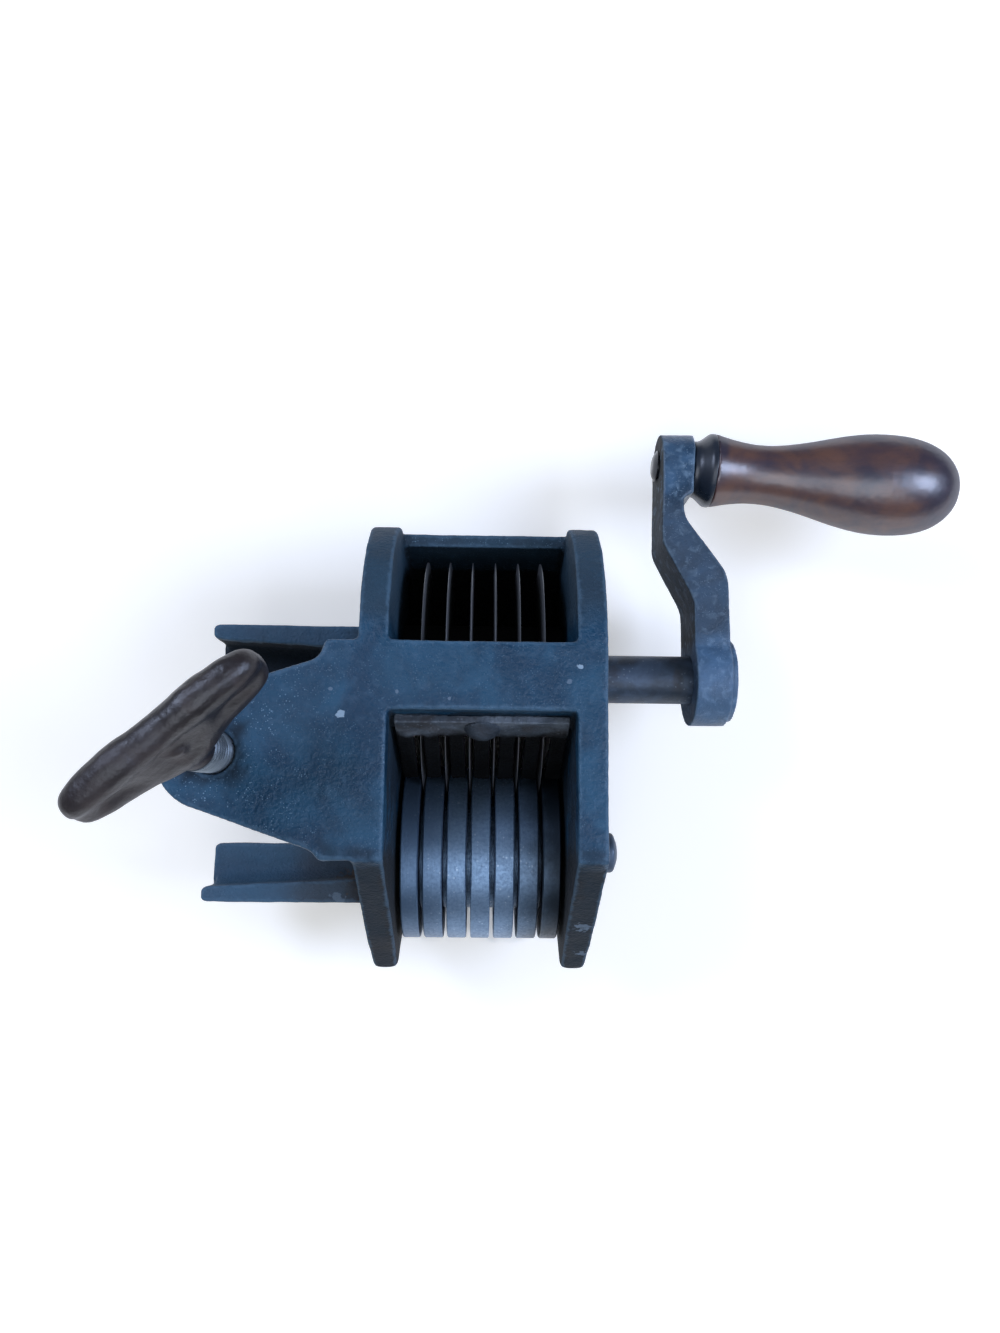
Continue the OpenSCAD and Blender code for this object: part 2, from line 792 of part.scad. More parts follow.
module clamp_pad() {
    color(forged_iron) placed() at_screw() translate([0, 0, pad_z]) difference() {
        rotate_extrude() polygon([
            [0, 0],
            [pad_d / 2 - pad_edge, 0],
            [pad_d / 2, pad_edge],
            [pad_d / 2, pad_rim_h],
            [tip_d / 2 + pad_collar_t, pad_t],
            [0, pad_t],
        ]);
        translate([0, 0, pad_t - pad_socket_l]) cylinder(h = pad_t, r = tip_d / 2 + bearing_gap);
    }
}

frame_casting();
stripper_comb();
comb_screw();
roller_axle();
grooved_roller();
crank_shaft();
blade(1);  // blade_1
blade(2);  // blade_2
blade(3);  // blade_3
blade(4);  // blade_4
blade(5);  // blade_5
blade(6);  // blade_6
spacer(1);  // spacer_1
spacer(2);  // spacer_2
spacer(3);  // spacer_3
spacer(4);  // spacer_4
spacer(5);  // spacer_5
end_collar_left();
end_collar_right();
collar_pin();
crank_arm();
crank_pin();
handle_spindle();
handle_ferrule();
handle_grip();
clamp_screw();
clamp_pad();
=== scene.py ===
"""Looks of a hand-cranked bean slicer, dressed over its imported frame.

Sizes are millimetres in the frame's own axes, and become metres when a mesh is made. X runs along the
crank shaft towards the handle, Y away from the roller, and Z up towards the wings of the clamp screw.
"""

from __future__ import annotations

import json
import logging
import math
from dataclasses import dataclass, replace
from enum import Enum
from typing import Any

import bmesh
import bpy
import numpy as np
from mathutils import Matrix, Vector, noise

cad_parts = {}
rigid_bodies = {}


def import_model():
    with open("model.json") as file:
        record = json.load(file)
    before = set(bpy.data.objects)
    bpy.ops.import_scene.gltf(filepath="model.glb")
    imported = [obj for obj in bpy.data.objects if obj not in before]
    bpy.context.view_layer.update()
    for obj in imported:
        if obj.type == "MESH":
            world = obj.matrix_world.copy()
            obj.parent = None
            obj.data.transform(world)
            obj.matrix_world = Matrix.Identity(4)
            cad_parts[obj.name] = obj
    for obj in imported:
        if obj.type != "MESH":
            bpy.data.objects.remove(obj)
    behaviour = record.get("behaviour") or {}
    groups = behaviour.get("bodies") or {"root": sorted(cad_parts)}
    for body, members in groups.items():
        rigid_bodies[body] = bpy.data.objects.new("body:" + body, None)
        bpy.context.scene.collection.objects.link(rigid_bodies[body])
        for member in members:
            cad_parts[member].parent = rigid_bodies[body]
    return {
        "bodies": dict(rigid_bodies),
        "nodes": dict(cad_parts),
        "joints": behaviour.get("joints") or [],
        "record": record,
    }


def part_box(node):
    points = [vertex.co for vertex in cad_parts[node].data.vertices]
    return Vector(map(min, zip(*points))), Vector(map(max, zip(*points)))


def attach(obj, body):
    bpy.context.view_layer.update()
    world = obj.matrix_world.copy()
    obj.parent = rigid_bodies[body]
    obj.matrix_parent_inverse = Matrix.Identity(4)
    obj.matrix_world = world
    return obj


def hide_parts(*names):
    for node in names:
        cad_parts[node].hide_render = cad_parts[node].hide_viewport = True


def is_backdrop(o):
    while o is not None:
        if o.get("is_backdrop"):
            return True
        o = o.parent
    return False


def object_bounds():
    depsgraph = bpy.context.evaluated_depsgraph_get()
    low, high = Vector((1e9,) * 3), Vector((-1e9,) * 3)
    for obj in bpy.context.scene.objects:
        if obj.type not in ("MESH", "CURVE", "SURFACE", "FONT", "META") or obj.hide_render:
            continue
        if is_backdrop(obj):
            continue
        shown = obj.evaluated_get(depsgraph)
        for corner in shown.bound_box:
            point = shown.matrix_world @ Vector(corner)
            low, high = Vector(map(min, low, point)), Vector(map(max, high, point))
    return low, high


MM = 0.001
log = logging.getLogger("bean_slicer")

SKIN_LAYERS = ((0.05, 1.4), (0.16, 1.0), (0.7, 0.5))

Point = tuple[float, float, float]
Colour = tuple[float, float, float, float]


class Body(Enum):
    """The bodies that move as one."""

    FRAME = "frame"
    ROTOR = "rotor"
    HANDLE = "handle"
    ROLLER = "roller"
    PAD = "pad"
    SCREW = "screw"


class Slot(Enum):
    """The record's material slots."""

    ENAMEL = "slate_enamel"
    ROUGH = "rough_iron"
    DARK = "dark_iron"
    ROLLER = "roller_steel"
    BLADE = "blade_steel"
    FORGED = "forged_iron"
    BLACK = "black_iron"
    WOOD = "varnished_wood"


class Mark(Enum):
    """What a local patch shows on the enamel."""

    RUST = "#4a3c30"
    CHIP = "#93a8b7"
    SCUFF = "#5f7080"


def tint(code: str) -> Colour:
    """Turns a web colour into a linear one.

    Args:
        code: Six hexadecimal digits after a hash.

    Returns:
        Red, green, blue and a full alpha.
    """
    parts = [int(code[i : i + 2], 16) / 255 for i in (1, 3, 5)]
    red, green, blue = [c / 12.92 if c <= 0.04045 else ((c + 0.055) / 1.055) ** 2.4 for c in parts]
    return (red, green, blue, 1.0)


class Graph:
    """Short calls that make and wire shader nodes in one tree."""

    def __init__(self, tree: bpy.types.NodeTree) -> None:
        """Keeps the tree that the nodes go in."""
        self.tree = tree

    def add(self, kind: str, **settings: Any) -> bpy.types.Node:
        """Makes a node.

        Args:
            kind: Blender's name of the node's type.
            settings: Properties to set on it.

        Returns:
            The node.
        """
        node = self.tree.nodes.new(kind)
        for key, value in settings.items():
            setattr(node, key, value)
        return node

    def feed(self, socket: bpy.types.NodeSocket, value: Any) -> None:
        """Links a socket to another, or sets its value.

        Args:
            socket: The input.
            value: An output socket, a number or a tuple.
        """
        if isinstance(value, bpy.types.NodeSocket):
            self.tree.links.new(value, socket)
        else:
            socket.default_value = value

    def calc(self, operation: str, *values: Any) -> bpy.types.NodeSocket:
        """Joins values by a sum of Blender's math node.

        Args:
            operation: The node's operation.
            values: Sockets or numbers.

        Returns:
            The result.
        """
        node = self.add("ShaderNodeMath", operation=operation)
        for socket, value in zip(node.inputs, values):
            self.feed(socket, value)
        return node.outputs[0]

    def vector(self, operation: str, first: Any, second: Any) -> bpy.types.Node:
        """Joins two vectors.

        Args:
            operation: The node's operation.
            first: A vector.
            second: A vector.

        Returns:
            The node.
        """
        node = self.add("ShaderNodeVectorMath", operation=operation)
        self.feed(node.inputs[0], first)
        self.feed(node.inputs[1], second)
        return node

    def stretched(self, vector: Any, scale: Point) -> bpy.types.NodeSocket:
        """Multiplies a vector by a scale for each axis."""
        return self.vector("MULTIPLY", vector, scale).outputs[0]

    def noise(self, vector: Any, scale: Any, detail: float = 4.0, twist: float = 0.0) -> bpy.types.NodeSocket:
        """Makes cloudy noise.

        Args:
            vector: Where, in millimetres.
            scale: Features to the millimetre.
            detail: How many finer layers it has.
            twist: How much it is distorted.

        Returns:
            A value about a half.
        """
        node = self.add("ShaderNodeTexNoise")
        self.feed(node.inputs["Vector"], vector)
        self.feed(node.inputs["Scale"], scale)
        node.inputs["Detail"].default_value = detail
        node.inputs["Distortion"].default_value = twist
        return node.outputs["Fac"]

    def ramp(self, value: Any, low: Any, high: Any) -> bpy.types.NodeSocket:
        """Rises smoothly from 0 at low to 1 at high.

        Args:
            value: What is mapped.
            low: Where it leaves 0.
            high: Where it reaches 1.

        Returns:
            The mapped value.
        """
        node = self.add("ShaderNodeMapRange", interpolation_type="SMOOTHSTEP")
        self.feed(node.inputs["Value"], value)
        self.feed(node.inputs["From Min"], low)
        self.feed(node.inputs["From Max"], high)
        return node.outputs["Result"]

    def mix(self, share: Any, first: Any, second: Any) -> bpy.types.NodeSocket:
        """Blends two colours.

        Args:
            share: How much of the second.
            first: A colour.
            second: A colour.

        Returns:
            The blend.
        """
        node = self.add("ShaderNodeMix", data_type="RGBA")
        self.feed(node.inputs[0], share)
        self.feed(node.inputs[6], first)
        self.feed(node.inputs[7], second)
        return node.outputs[2]

    def layer(self, colour: Any, mask: Any, share: float, code: str) -> bpy.types.NodeSocket:
        """Lays a colour over another.

        Args:
            colour: The colour below.
            mask: Where the new one goes.
            share: How much of it covers there.
            code: The new one, as a web colour.

        Returns:
            The blend.
        """
        return self.mix(self.calc("MULTIPLY", mask, share), colour, tint(code))

    def place(self, datum: Point) -> bpy.types.NodeSocket:
        """Gives the point on the piece in millimetres, measured from a datum.

        Args:
            datum: Where the measure starts.

        Returns:
            The point.
        """
        where = self.add("ShaderNodeTexCoord").outputs["Object"]
        scaled = self.stretched(where, (1 / MM, 1 / MM, 1 / MM))
        return self.vector("SUBTRACT", scaled, datum).outputs[0]

    def facing(self, side: Point) -> bpy.types.NodeSocket:
        """Gives how far the surface faces a side, from 0 to 1."""
        normal = self.add("ShaderNodeTexCoord").outputs["Normal"]
        return self.ramp(self.vector("DOT_PRODUCT", normal, side).outputs["Value"], 0.3, 0.85)

    def effect(self, effect: Effect, **inputs: Any) -> bpy.types.Node:
        """Places a shared effect.

        Args:
            effect: Which one.
            inputs: Values or sockets by the input's name.

        Returns:
            The group's node.
        """
        node = self.add("ShaderNodeGroup", node_tree=effect.tree())
        for key, value in inputs.items():
            self.feed(node.inputs[key.capitalize()], value)
        return node


class Effect(Enum):
    """Surface effects that several finishes share."""

    GRAIN = ("cast_grain", ("Vector", "Scale", "Lumps"), ("Height", "Mottle"))
    SPECKS = ("light_specks", ("Vector", "Scale", "Amount"), ("Mask",))
    WEAR = ("edge_wear", ("Vector", "Scale", "Amount"), ("Edge", "Hollow"))
    PATCH = ("local_patch", ("Vector", "Centre", "Radius", "Breakup"), ("Mask",))
    ZONE = ("soft_zone", ("Vector", "Low", "High", "Soft"), ("Mask",))

    def tree(self) -> bpy.types.NodeTree:
        """Builds the effect's node group once.

        Returns:
            The group.
        """
        name, inputs, outputs = self.value
        made = bpy.data.node_groups.get(name)
        if made:
            return made
        made = bpy.data.node_groups.new(name, "ShaderNodeTree")
        for key in inputs:
            kind = "NodeSocketVector" if key in ("Vector", "Centre", "Low", "High") else "NodeSocketFloat"
            made.interface.new_socket(key, in_out="INPUT", socket_type=kind)
        for key in outputs:
            made.interface.new_socket(key, in_out="OUTPUT", socket_type="NodeSocketFloat")
        graph = Graph(made)
        given = graph.add("NodeGroupInput").outputs
        result = graph.add("NodeGroupOutput").inputs
        getattr(self, "_" + name)(graph, given, result)
        return made

    def _cast_grain(self, graph: Graph, given: Any, result: Any) -> None:
        """Fine grain over soft lumps, and a slow mottle for the colour.

        Args:
            graph: The group's graph.
            given: The group's inputs.
            result: The group's outputs.
        """
        fine = graph.noise(given["Vector"], given["Scale"], detail=5.0)
        slow = graph.noise(given["Vector"], graph.calc("MULTIPLY", given["Scale"], 0.22), detail=3.0)
        lumps = graph.calc("MULTIPLY", slow, given["Lumps"])
        graph.feed(result["Height"], graph.calc("ADD", fine, lumps))
        broad = graph.calc("MULTIPLY", given["Scale"], 0.07)
        mottle = graph.noise(given["Vector"], broad, detail=6.0, twist=0.6)
        graph.feed(result["Mottle"], graph.ramp(mottle, 0.3, 0.7))

    def _light_specks(self, graph: Graph, given: Any, result: Any) -> None:
        """Small flecks of uneven size, gathered in drifts.

        Args:
            graph: The group's graph.
            given: The group's inputs.
            result: The group's outputs.
        """
        cells = graph.add("ShaderNodeTexVoronoi")
        graph.feed(cells.inputs["Vector"], given["Vector"])
        graph.feed(cells.inputs["Scale"], given["Scale"])
        pick = graph.add("ShaderNodeSeparateColor")
        graph.feed(pick.inputs[0], cells.outputs["Color"])
        lucky = graph.ramp(pick.outputs[0], 0.62, 1.0)
        size = graph.calc("MULTIPLY", lucky, given["Amount"])
        ragged = graph.noise(given["Vector"], graph.calc("MULTIPLY", given["Scale"], 4.0), detail=2.0)
        reach = graph.calc("SUBTRACT", graph.calc("MULTIPLY", size, ragged), cells.outputs["Distance"])
        fleck = graph.ramp(reach, 0.0, 0.08)
        drift = graph.noise(given["Vector"], graph.calc("MULTIPLY", given["Scale"], 0.09), detail=3.0)
        graph.feed(result["Mask"], graph.calc("MULTIPLY", fleck, graph.ramp(drift, 0.38, 0.6)))

    def _edge_wear(self, graph: Graph, given: Any, result: Any) -> None:
        """Rubbed edges and dirty hollows, broken up by noise.

        Args:
            graph: The group's graph.
            given: The group's inputs.
            result: The group's outputs.
        """
        rough = graph.calc("SUBTRACT", graph.noise(given["Vector"], given["Scale"], detail=6.0), 0.5)
        for key in ("Edge", "Hollow"):
            painted = graph.add("ShaderNodeAttribute", attribute_name=key.lower()).outputs["Fac"]
            level = graph.calc("MULTIPLY_ADD", painted, given["Amount"], rough)
            graph.feed(result[key], graph.ramp(level, 0.25, 0.75))

    def _local_patch(self, graph: Graph, given: Any, result: Any) -> None:
        """A ragged patch round a point.

        Args:
            graph: The group's graph.
            given: The group's inputs.
            result: The group's outputs.
        """
        away = graph.vector("DISTANCE", given["Vector"], given["Centre"]).outputs["Value"]
        share = graph.calc("DIVIDE", away, given["Radius"])
        rough = graph.calc("SUBTRACT", graph.noise(given["Vector"], 0.9, detail=5.0), 0.5)
        ragged = graph.calc("MULTIPLY_ADD", rough, given["Breakup"], share)
        graph.feed(result["Mask"], graph.calc("SUBTRACT", 1.0, graph.ramp(ragged, 0.75, 1.0)))

    def _soft_zone(self, graph: Graph, given: Any, result: Any) -> None:
        """A box whose ragged sides fade out.

        Args:
            graph: The group's graph.
            given: The group's inputs.
            result: The group's outputs.
        """
        below = graph.vector("SUBTRACT", given["Low"], given["Vector"]).outputs[0]
        above = graph.vector("SUBTRACT", given["Vector"], given["High"]).outputs[0]
        parts = graph.add("ShaderNodeSeparateXYZ")
        graph.feed(parts.inputs[0], graph.vector("MAXIMUM", below, above).outputs[0])
        most = graph.calc("MAXIMUM", parts.outputs[0], parts.outputs[1])
        most = graph.calc("MAXIMUM", most, parts.outputs[2])
        rough = graph.calc("SUBTRACT", graph.noise(given["Vector"], 0.16, detail=6.0), 0.5)
        ragged = graph.calc("DIVIDE", graph.calc("MULTIPLY_ADD", rough, 8.0, most), given["Soft"])
        graph.feed(result["Mask"], graph.calc("SUBTRACT", 1.0, graph.ramp(ragged, 0.0, 1.0)))


@dataclass(frozen=True)
class Patch:
    """A local mark on a finish."""

    centre: Point
    radius: float
    mark: Mark


@dataclass(frozen=True)
class Stretch:
    """A box on a piece whose sides fade out, and how strongly it shows."""

    low: Point
    high: Point
    soft: float
    share: float

    def strength(self, graph: Graph, place: Any) -> bpy.types.NodeSocket:
        """Gives how strongly the stretch shows at a point.

        Args:
            graph: The material's graph.
            place: The point on the piece.

        Returns:
            The share inside the box, which fades to 0 outside it.
        """
        node = graph.effect(Effect.ZONE, vector=place, low=self.low, high=self.high, soft=self.soft)
        return graph.calc("MULTIPLY", node.outputs["Mask"], self.share)


@dataclass(frozen=True)
class Zone(Stretch):
    """A stretch of a piece with another colour."""

    colour: str


@dataclass(frozen=True)
class Finish:
    """What every finish has."""

    name: str
    roughness: float
    metallic: float
    bump: float
    gloss: float
    datum: Point

    def material(self) -> bpy.types.Material:
        """Builds the material, each finish in its own way."""
        raise NotImplementedError

    def bench(self) -> tuple[bpy.types.Material, Graph, bpy.types.Node]:
        """Makes an empty material with its shader.

        Returns:
            The material, its graph and its shader node.
        """
        material = bpy.data.materials.new(self.name)
        material.use_nodes = True
        tree = material.node_tree
        shader = tree.nodes["Principled BSDF"]
        shader.inputs["Metallic"].default_value = self.metallic
        shader.inputs["Specular IOR Level"].default_value = self.gloss
        return material, Graph(tree), shader

    def relief(self, graph: Graph, shader: bpy.types.Node, height: bpy.types.NodeSocket) -> None:
        """Presses a height into the shader's normal.

        Args:
            graph: The material's graph.
            shader: Its shader.
            height: The height, as a share of the finish's bump.
        """
        bump = graph.add("ShaderNodeBump")
        bump.inputs["Strength"].default_value = 1.0
        bump.inputs["Distance"].default_value = self.bump * MM
        graph.feed(bump.inputs["Height"], height)
        graph.feed(shader.inputs["Normal"], bump.outputs[0])

    def zoned(self, graph: Graph, place: Any, colour: Any, zones: tuple[Zone, ...]) -> tuple[Any, Any]:
        """Blends the colours of zones into a colour.

        Args:
            graph: The material's graph.
            place: The point on the piece.
            colour: The colour so far.
            zones: The zones, later ones on top.

        Returns:
            The blended colour, and how much of it is the zones'.
        """
        covered = 0.0
        for zone in zones:
            share = zone.strength(graph, place)
            colour = graph.mix(share, colour, tint(zone.colour))
            covered = graph.calc("MAXIMUM", covered, share)
        return colour, covered


@dataclass(frozen=True)
class Enamel(Finish):
    """Worn slate-blue paint over rough cast iron."""

    deep: str
    pale: str
    film_and_shade: str
    film_share: float
    speck: str
    worn: str
    scuffs: float
    grain: float
    glitter: tuple[Stretch, ...]
    zones: tuple[Zone, ...] = ()
    patches: tuple[Patch, ...] = ()
    shaded_side: Point = (0.0, 0.0, 0.0)
    dim: float = 0.2
    soot: str = "#0b1117"

    def material(self) -> bpy.types.Material:
        """Builds the material.

        Returns:
            The material.
        """
        material, graph, shader = self.bench()
        place = graph.place(self.datum)
        grain = graph.effect(Effect.GRAIN, vector=place, scale=self.grain, lumps=0.7)
        colour = graph.mix(grain.outputs["Mottle"], tint(self.deep), tint(self.pale))
        drift = graph.ramp(graph.noise(place, 0.045, detail=5.0, twist=1.0), 0.42, 0.7)
        # Painted shade: surfaces facing the given side take the film colour; elsewhere the film lies in
        # drifts as real dirt.
        side = graph.facing(self.shaded_side)
        film_and_shade = graph.calc("MAXIMUM", graph.calc("MULTIPLY", drift, self.film_share), side)
        colour = graph.mix(film_and_shade, colour, tint(self.film_and_shade))
        rubbed = graph.ramp(graph.noise(place, 0.4, detail=8.0, twist=0.5), 0.5, 0.72)
        colour = graph.layer(colour, rubbed, self.scuffs, self.worn)
        colour, covered = self.zoned(graph, place, colour, self.zones)
        wear = graph.effect(Effect.WEAR, vector=place, scale=0.5, amount=0.75)
        colour = graph.layer(colour, wear.outputs["Hollow"], 0.65, self.soot)
        colour = graph.layer(colour, wear.outputs["Edge"], 0.34, self.worn)
        small = graph.effect(Effect.SPECKS, vector=place, scale=2.8, amount=0.95).outputs["Mask"]
        large = graph.effect(Effect.SPECKS, vector=place, scale=0.6, amount=0.25).outputs["Mask"]
        large = graph.calc("MULTIPLY", large, 0.5)
        bright: Any = self.dim
        for stretch in self.glitter:
            bright = graph.calc("ADD", stretch.strength(graph, place), bright)
        flecks = graph.calc("MAXIMUM", graph.calc("MULTIPLY", small, bright), large)
        covered = graph.calc("MAXIMUM", covered, side)
        flecks = graph.calc("MULTIPLY", flecks, graph.calc("SUBTRACT", 1.0, covered))
        colour = graph.mix(flecks, colour, tint(self.speck))
        dull = graph.calc("MAXIMUM", flecks, graph.calc("MULTIPLY", covered, 1.8))
        for patch in self.patches:
            mask = graph.effect(
                Effect.PATCH, vector=place, centre=patch.centre, radius=patch.radius, breakup=2.2
            ).outputs["Mask"]
            colour = graph.layer(colour, mask, 0.75, patch.mark.value)
            dull = graph.calc("MAXIMUM", dull, mask)
        graph.feed(shader.inputs["Base Color"], colour)
        shine = graph.calc("MULTIPLY_ADD", grain.outputs["Mottle"], 0.12, self.roughness)
        graph.feed(shader.inputs["Roughness"], graph.calc("MULTIPLY_ADD", dull, 0.25, shine))
        self.relief(graph, shader, graph.calc("MULTIPLY_ADD", flecks, -0.4, grain.outputs["Height"]))
        return material


@dataclass(frozen=True)
class Iron(Finish):
    """Bare iron, rough or smooth, with a bloom of another colour."""

    deep: str
    pale: str
    bloom: str
    bloom_share: float
    edge: str
    grain: float
    specks: float
    soot: str = "#0a0909"
    zones: tuple[Zone, ...] = ()

    def material(self) -> bpy.types.Material:
        """Builds the material.

        Returns:
            The material.
        """
        material, graph, shader = self.bench()
        place = graph.place(self.datum)
        grain = graph.effect(Effect.GRAIN, vector=place, scale=self.grain, lumps=1.0)
        colour = graph.mix(grain.outputs["Mottle"], tint(self.deep), tint(self.pale))
        drift = graph.ramp(graph.noise(place, 0.13, detail=6.0, twist=0.8), 0.44, 0.66)
        colour = graph.layer(colour, drift, self.bloom_share, self.bloom)
        wear = graph.effect(Effect.WEAR, vector=place, scale=0.6, amount=0.9)
        colour = graph.layer(colour, wear.outputs["Hollow"], 0.7, self.soot)
        colour = graph.layer(colour, wear.outputs["Edge"], 0.45, self.edge)
        flecks = graph.effect(Effect.SPECKS, vector=place, scale=1.3, amount=self.specks).outputs["Mask"]
        colour = graph.layer(colour, flecks, 0.5, self.edge)
        colour, _ = self.zoned(graph, place, colour, self.zones)
        graph.feed(shader.inputs["Base Color"], colour)
        shine = graph.calc("MULTIPLY_ADD", grain.outputs["Mottle"], 0.15, self.roughness)
        graph.feed(shader.inputs["Roughness"], graph.calc("MULTIPLY_ADD", drift, 0.1, shine))
        self.relief(graph, shader, grain.outputs["Height"])
        return material


@dataclass(frozen=True)
class TurnedSteel(Finish):
    """Steel with fine marks round an axis along X, and stains."""

    pale: str
    stain: str
    rim: str
    rim_from: float
    speck: str
    zones: tuple[Zone, ...] = ()

    def material(self) -> bpy.types.Material:
        """Builds the material.

        Returns:
            The material.
        """
        material, graph, shader = self.bench()
        place = graph.place(self.datum)
        rings = graph.noise(graph.stretched(place, (7.0, 0.12, 0.12)), 1.0, detail=3.0)
        stains = graph.ramp(graph.noise(place, 1.3, detail=7.0, twist=0.3), 0.3, 0.75)
        colour = graph.mix(stains, tint(self.pale), tint(self.stain))
        flat = graph.stretched(place, (0.0, 1.0, 1.0))
        away = graph.vector("LENGTH", flat, (0.0, 0.0, 0.0)).outputs["Value"]
        rim = graph.ramp(away, self.rim_from - 0.2, self.rim_from + 0.2)
        colour = graph.layer(colour, rim, 0.75, self.rim)
        flecks = graph.effect(Effect.SPECKS, vector=place, scale=1.4, amount=0.8).outputs["Mask"]
        colour = graph.layer(colour, flecks, 0.45, self.speck)
        colour, _ = self.zoned(graph, place, colour, self.zones)
        graph.feed(shader.inputs["Base Color"], colour)
        shine = graph.calc("MULTIPLY_ADD", stains, 0.12, self.roughness)
        graph.feed(shader.inputs["Roughness"], graph.calc("MULTIPLY_ADD", rings, 0.1, shine))
        self.relief(graph, shader, rings)
        return material


@dataclass(frozen=True)
class Varnish(Finish):
    """Dark turned hardwood under old varnish."""

    deep: str
    mid: str
    red: str
    coat: float
    coat_roughness: float = 0.33
    coat_ior: float = 2.4
    pore: str = "#1c1314"
    rubbed: str = "#6d4f43"
    zones: tuple[Zone, ...] = ()

    def material(self) -> bpy.types.Material:
        """Builds the material.

        Returns:
            The material.
        """
        material, graph, shader = self.bench()
        place = graph.place(self.datum)
        fibres = graph.noise(graph.stretched(place, (0.05, 0.7, 0.7)), 1.0, detail=6.0, twist=0.3)
        pores = graph.ramp(graph.noise(graph.stretched(place, (0.2, 3.0, 3.0)), 1.0, detail=3.0), 0.58, 0.72)
        patches = graph.ramp(graph.noise(place, 0.08, detail=6.0, twist=1.4), 0.44, 0.62)
        rubbed = graph.ramp(graph.noise(place, 0.11, detail=8.0, twist=0.5), 0.32, 0.7)
        colour = graph.mix(graph.ramp(fibres, 0.25, 0.75), tint(self.deep), tint(self.mid))
        colour = graph.layer(colour, patches, 0.7, self.red)
        bare, _ = self.zoned(graph, place, colour, self.zones)
        colour = graph.mix(rubbed, colour, bare)
        colour = graph.layer(colour, pores, 0.35, self.pore)
        wear = graph.effect(Effect.WEAR, vector=place, scale=0.4, amount=0.7)
        colour = graph.layer(colour, wear.outputs["Edge"], 0.25, self.rubbed)
        graph.feed(shader.inputs["Base Color"], colour)
        shine = graph.calc("MULTIPLY_ADD", pores, 0.15, self.roughness)
        graph.feed(shader.inputs["Roughness"], graph.calc("MULTIPLY_ADD", patches, 0.12, shine))
        shader.inputs["Coat Weight"].default_value = self.coat
        shader.inputs["Coat Roughness"].default_value = self.coat_roughness
        shader.inputs["Coat IOR"].default_value = self.coat_ior
        self.relief(graph, shader, graph.calc("MULTIPLY_ADD", pores, -0.8, fibres))
        return material


@dataclass
class Shape:
    """Points in millimetres and the faces between them."""

    points: np.ndarray
    faces: list[tuple[int, ...]]

    def __add__(self, other: Shape) -> Shape:
        """Puts two shapes in one, each with its own faces.

        Args:
            other: The shape that is added.

        Returns:
            The joined shape.
        """
        step = len(self.points)
        moved = [tuple(i + step for i in face) for face in other.faces]
        return Shape(np.concatenate([self.points, other.points]), self.faces + moved)

    def piece(self, name: str, crease: float = 38) -> bpy.types.Object:
        """Makes an object of the shape.

        Args:
            name: The piece's name.
            crease: Angle in degrees from which an edge stays sharp.

        Returns:
            The object, with shared points joined and its faces outward.
        """
        mesh = bpy.data.meshes.new(name)
        mesh.from_pydata((self.points * MM).tolist(), [], self.faces)
        weld(mesh)
        mesh.shade_smooth()
        mesh.set_sharp_from_angle(angle=math.radians(crease))
        return add_object(name, mesh)


def add_object(name: str, mesh: bpy.types.Mesh) -> bpy.types.Object:
    """Puts a mesh in the scene under a name.

    Args:
        name: The piece's name.
        mesh: Its mesh.

    Returns:
        The object.
    """
    piece = bpy.data.objects.new(name, mesh)
    bpy.context.scene.collection.objects.link(piece)
    return piece


def weld(mesh: bpy.types.Mesh) -> None:
    """Joins points that coincide and turns the faces outward.

    Args:
        mesh: The mesh to mend.
    """
    work = bmesh.new()
    work.from_mesh(mesh)
    bmesh.ops.remove_doubles(work, verts=work.verts, dist=0.002 * MM)
    bmesh.ops.dissolve_degenerate(work, edges=work.edges, dist=0.001 * MM)
    bmesh.ops.recalc_face_normals(work, faces=work.faces)
    work.to_mesh(mesh)
    work.free()


def woven(rows: list[np.ndarray], closed: bool = False) -> Shape:
    """Spans faces between rings of points.

    Args:
        rows: Rings with equally many points.
        closed: Whether the last ring joins the first.

    Returns:
        The shape.
    """
    count = len(rows[0])
    last = len(rows) if closed else len(rows) - 1
    faces = []
    for row in range(last):
        start = row * count
        ahead = (row + 1) % len(rows) * count
        for column in range(count):
            side = (column + 1) % count
            faces.append((start + column, start + side, ahead + side, ahead + column))
    return Shape(np.concatenate(rows), faces)


@dataclass(frozen=True)
class Axis:
    """A line that pieces turn about."""

    origin: Point
    direction: Point

    @classmethod
    def of_joint(cls, frame: dict[str, Any], name: str) -> Axis:
        """Reads a joint's axis from the frame.

        Args:
            name: The joint's name.

        Returns:
            The axis, in millimetres.
        """
        joint = next(j for j in frame["joints"] if j["name"] == name)
        return cls(tuple(c / MM for c in joint["pos_m"]), tuple(joint["axis"]))

    def ring(self, along: float, radii: np.ndarray) -> np.ndarray:
        """Places a ring of points round the axis.

        Args:
            along: Distance from the origin.
            radii: A radius for each point.

        Returns:
            The points.
        """
        direction = Vector(self.direction).normalized()
        side = direction.orthogonal().normalized()
        other = direction.cross(side)
        turns = np.linspace(0, 2 * math.pi, len(radii), endpoint=False)
        spokes = np.outer(np.cos(turns), side) + np.outer(np.sin(turns), other)
        return np.array(self.origin) + along * np.array(direction) + spokes * radii[:, None]

    def turned(self, profile: list[tuple[float, float]], sides: int = 96, closed: bool = False) -> Shape:
        """Turns a profile about the axis.

        Args:
            profile: Points as distance along the axis and radius.
            sides: Points in each ring.
            closed: Whether the profile joins its own start, as on a bored piece.

        Returns:
            The shape.
        """
        return woven([self.ring(s, np.full(sides, r)) for s, r in profile], closed)


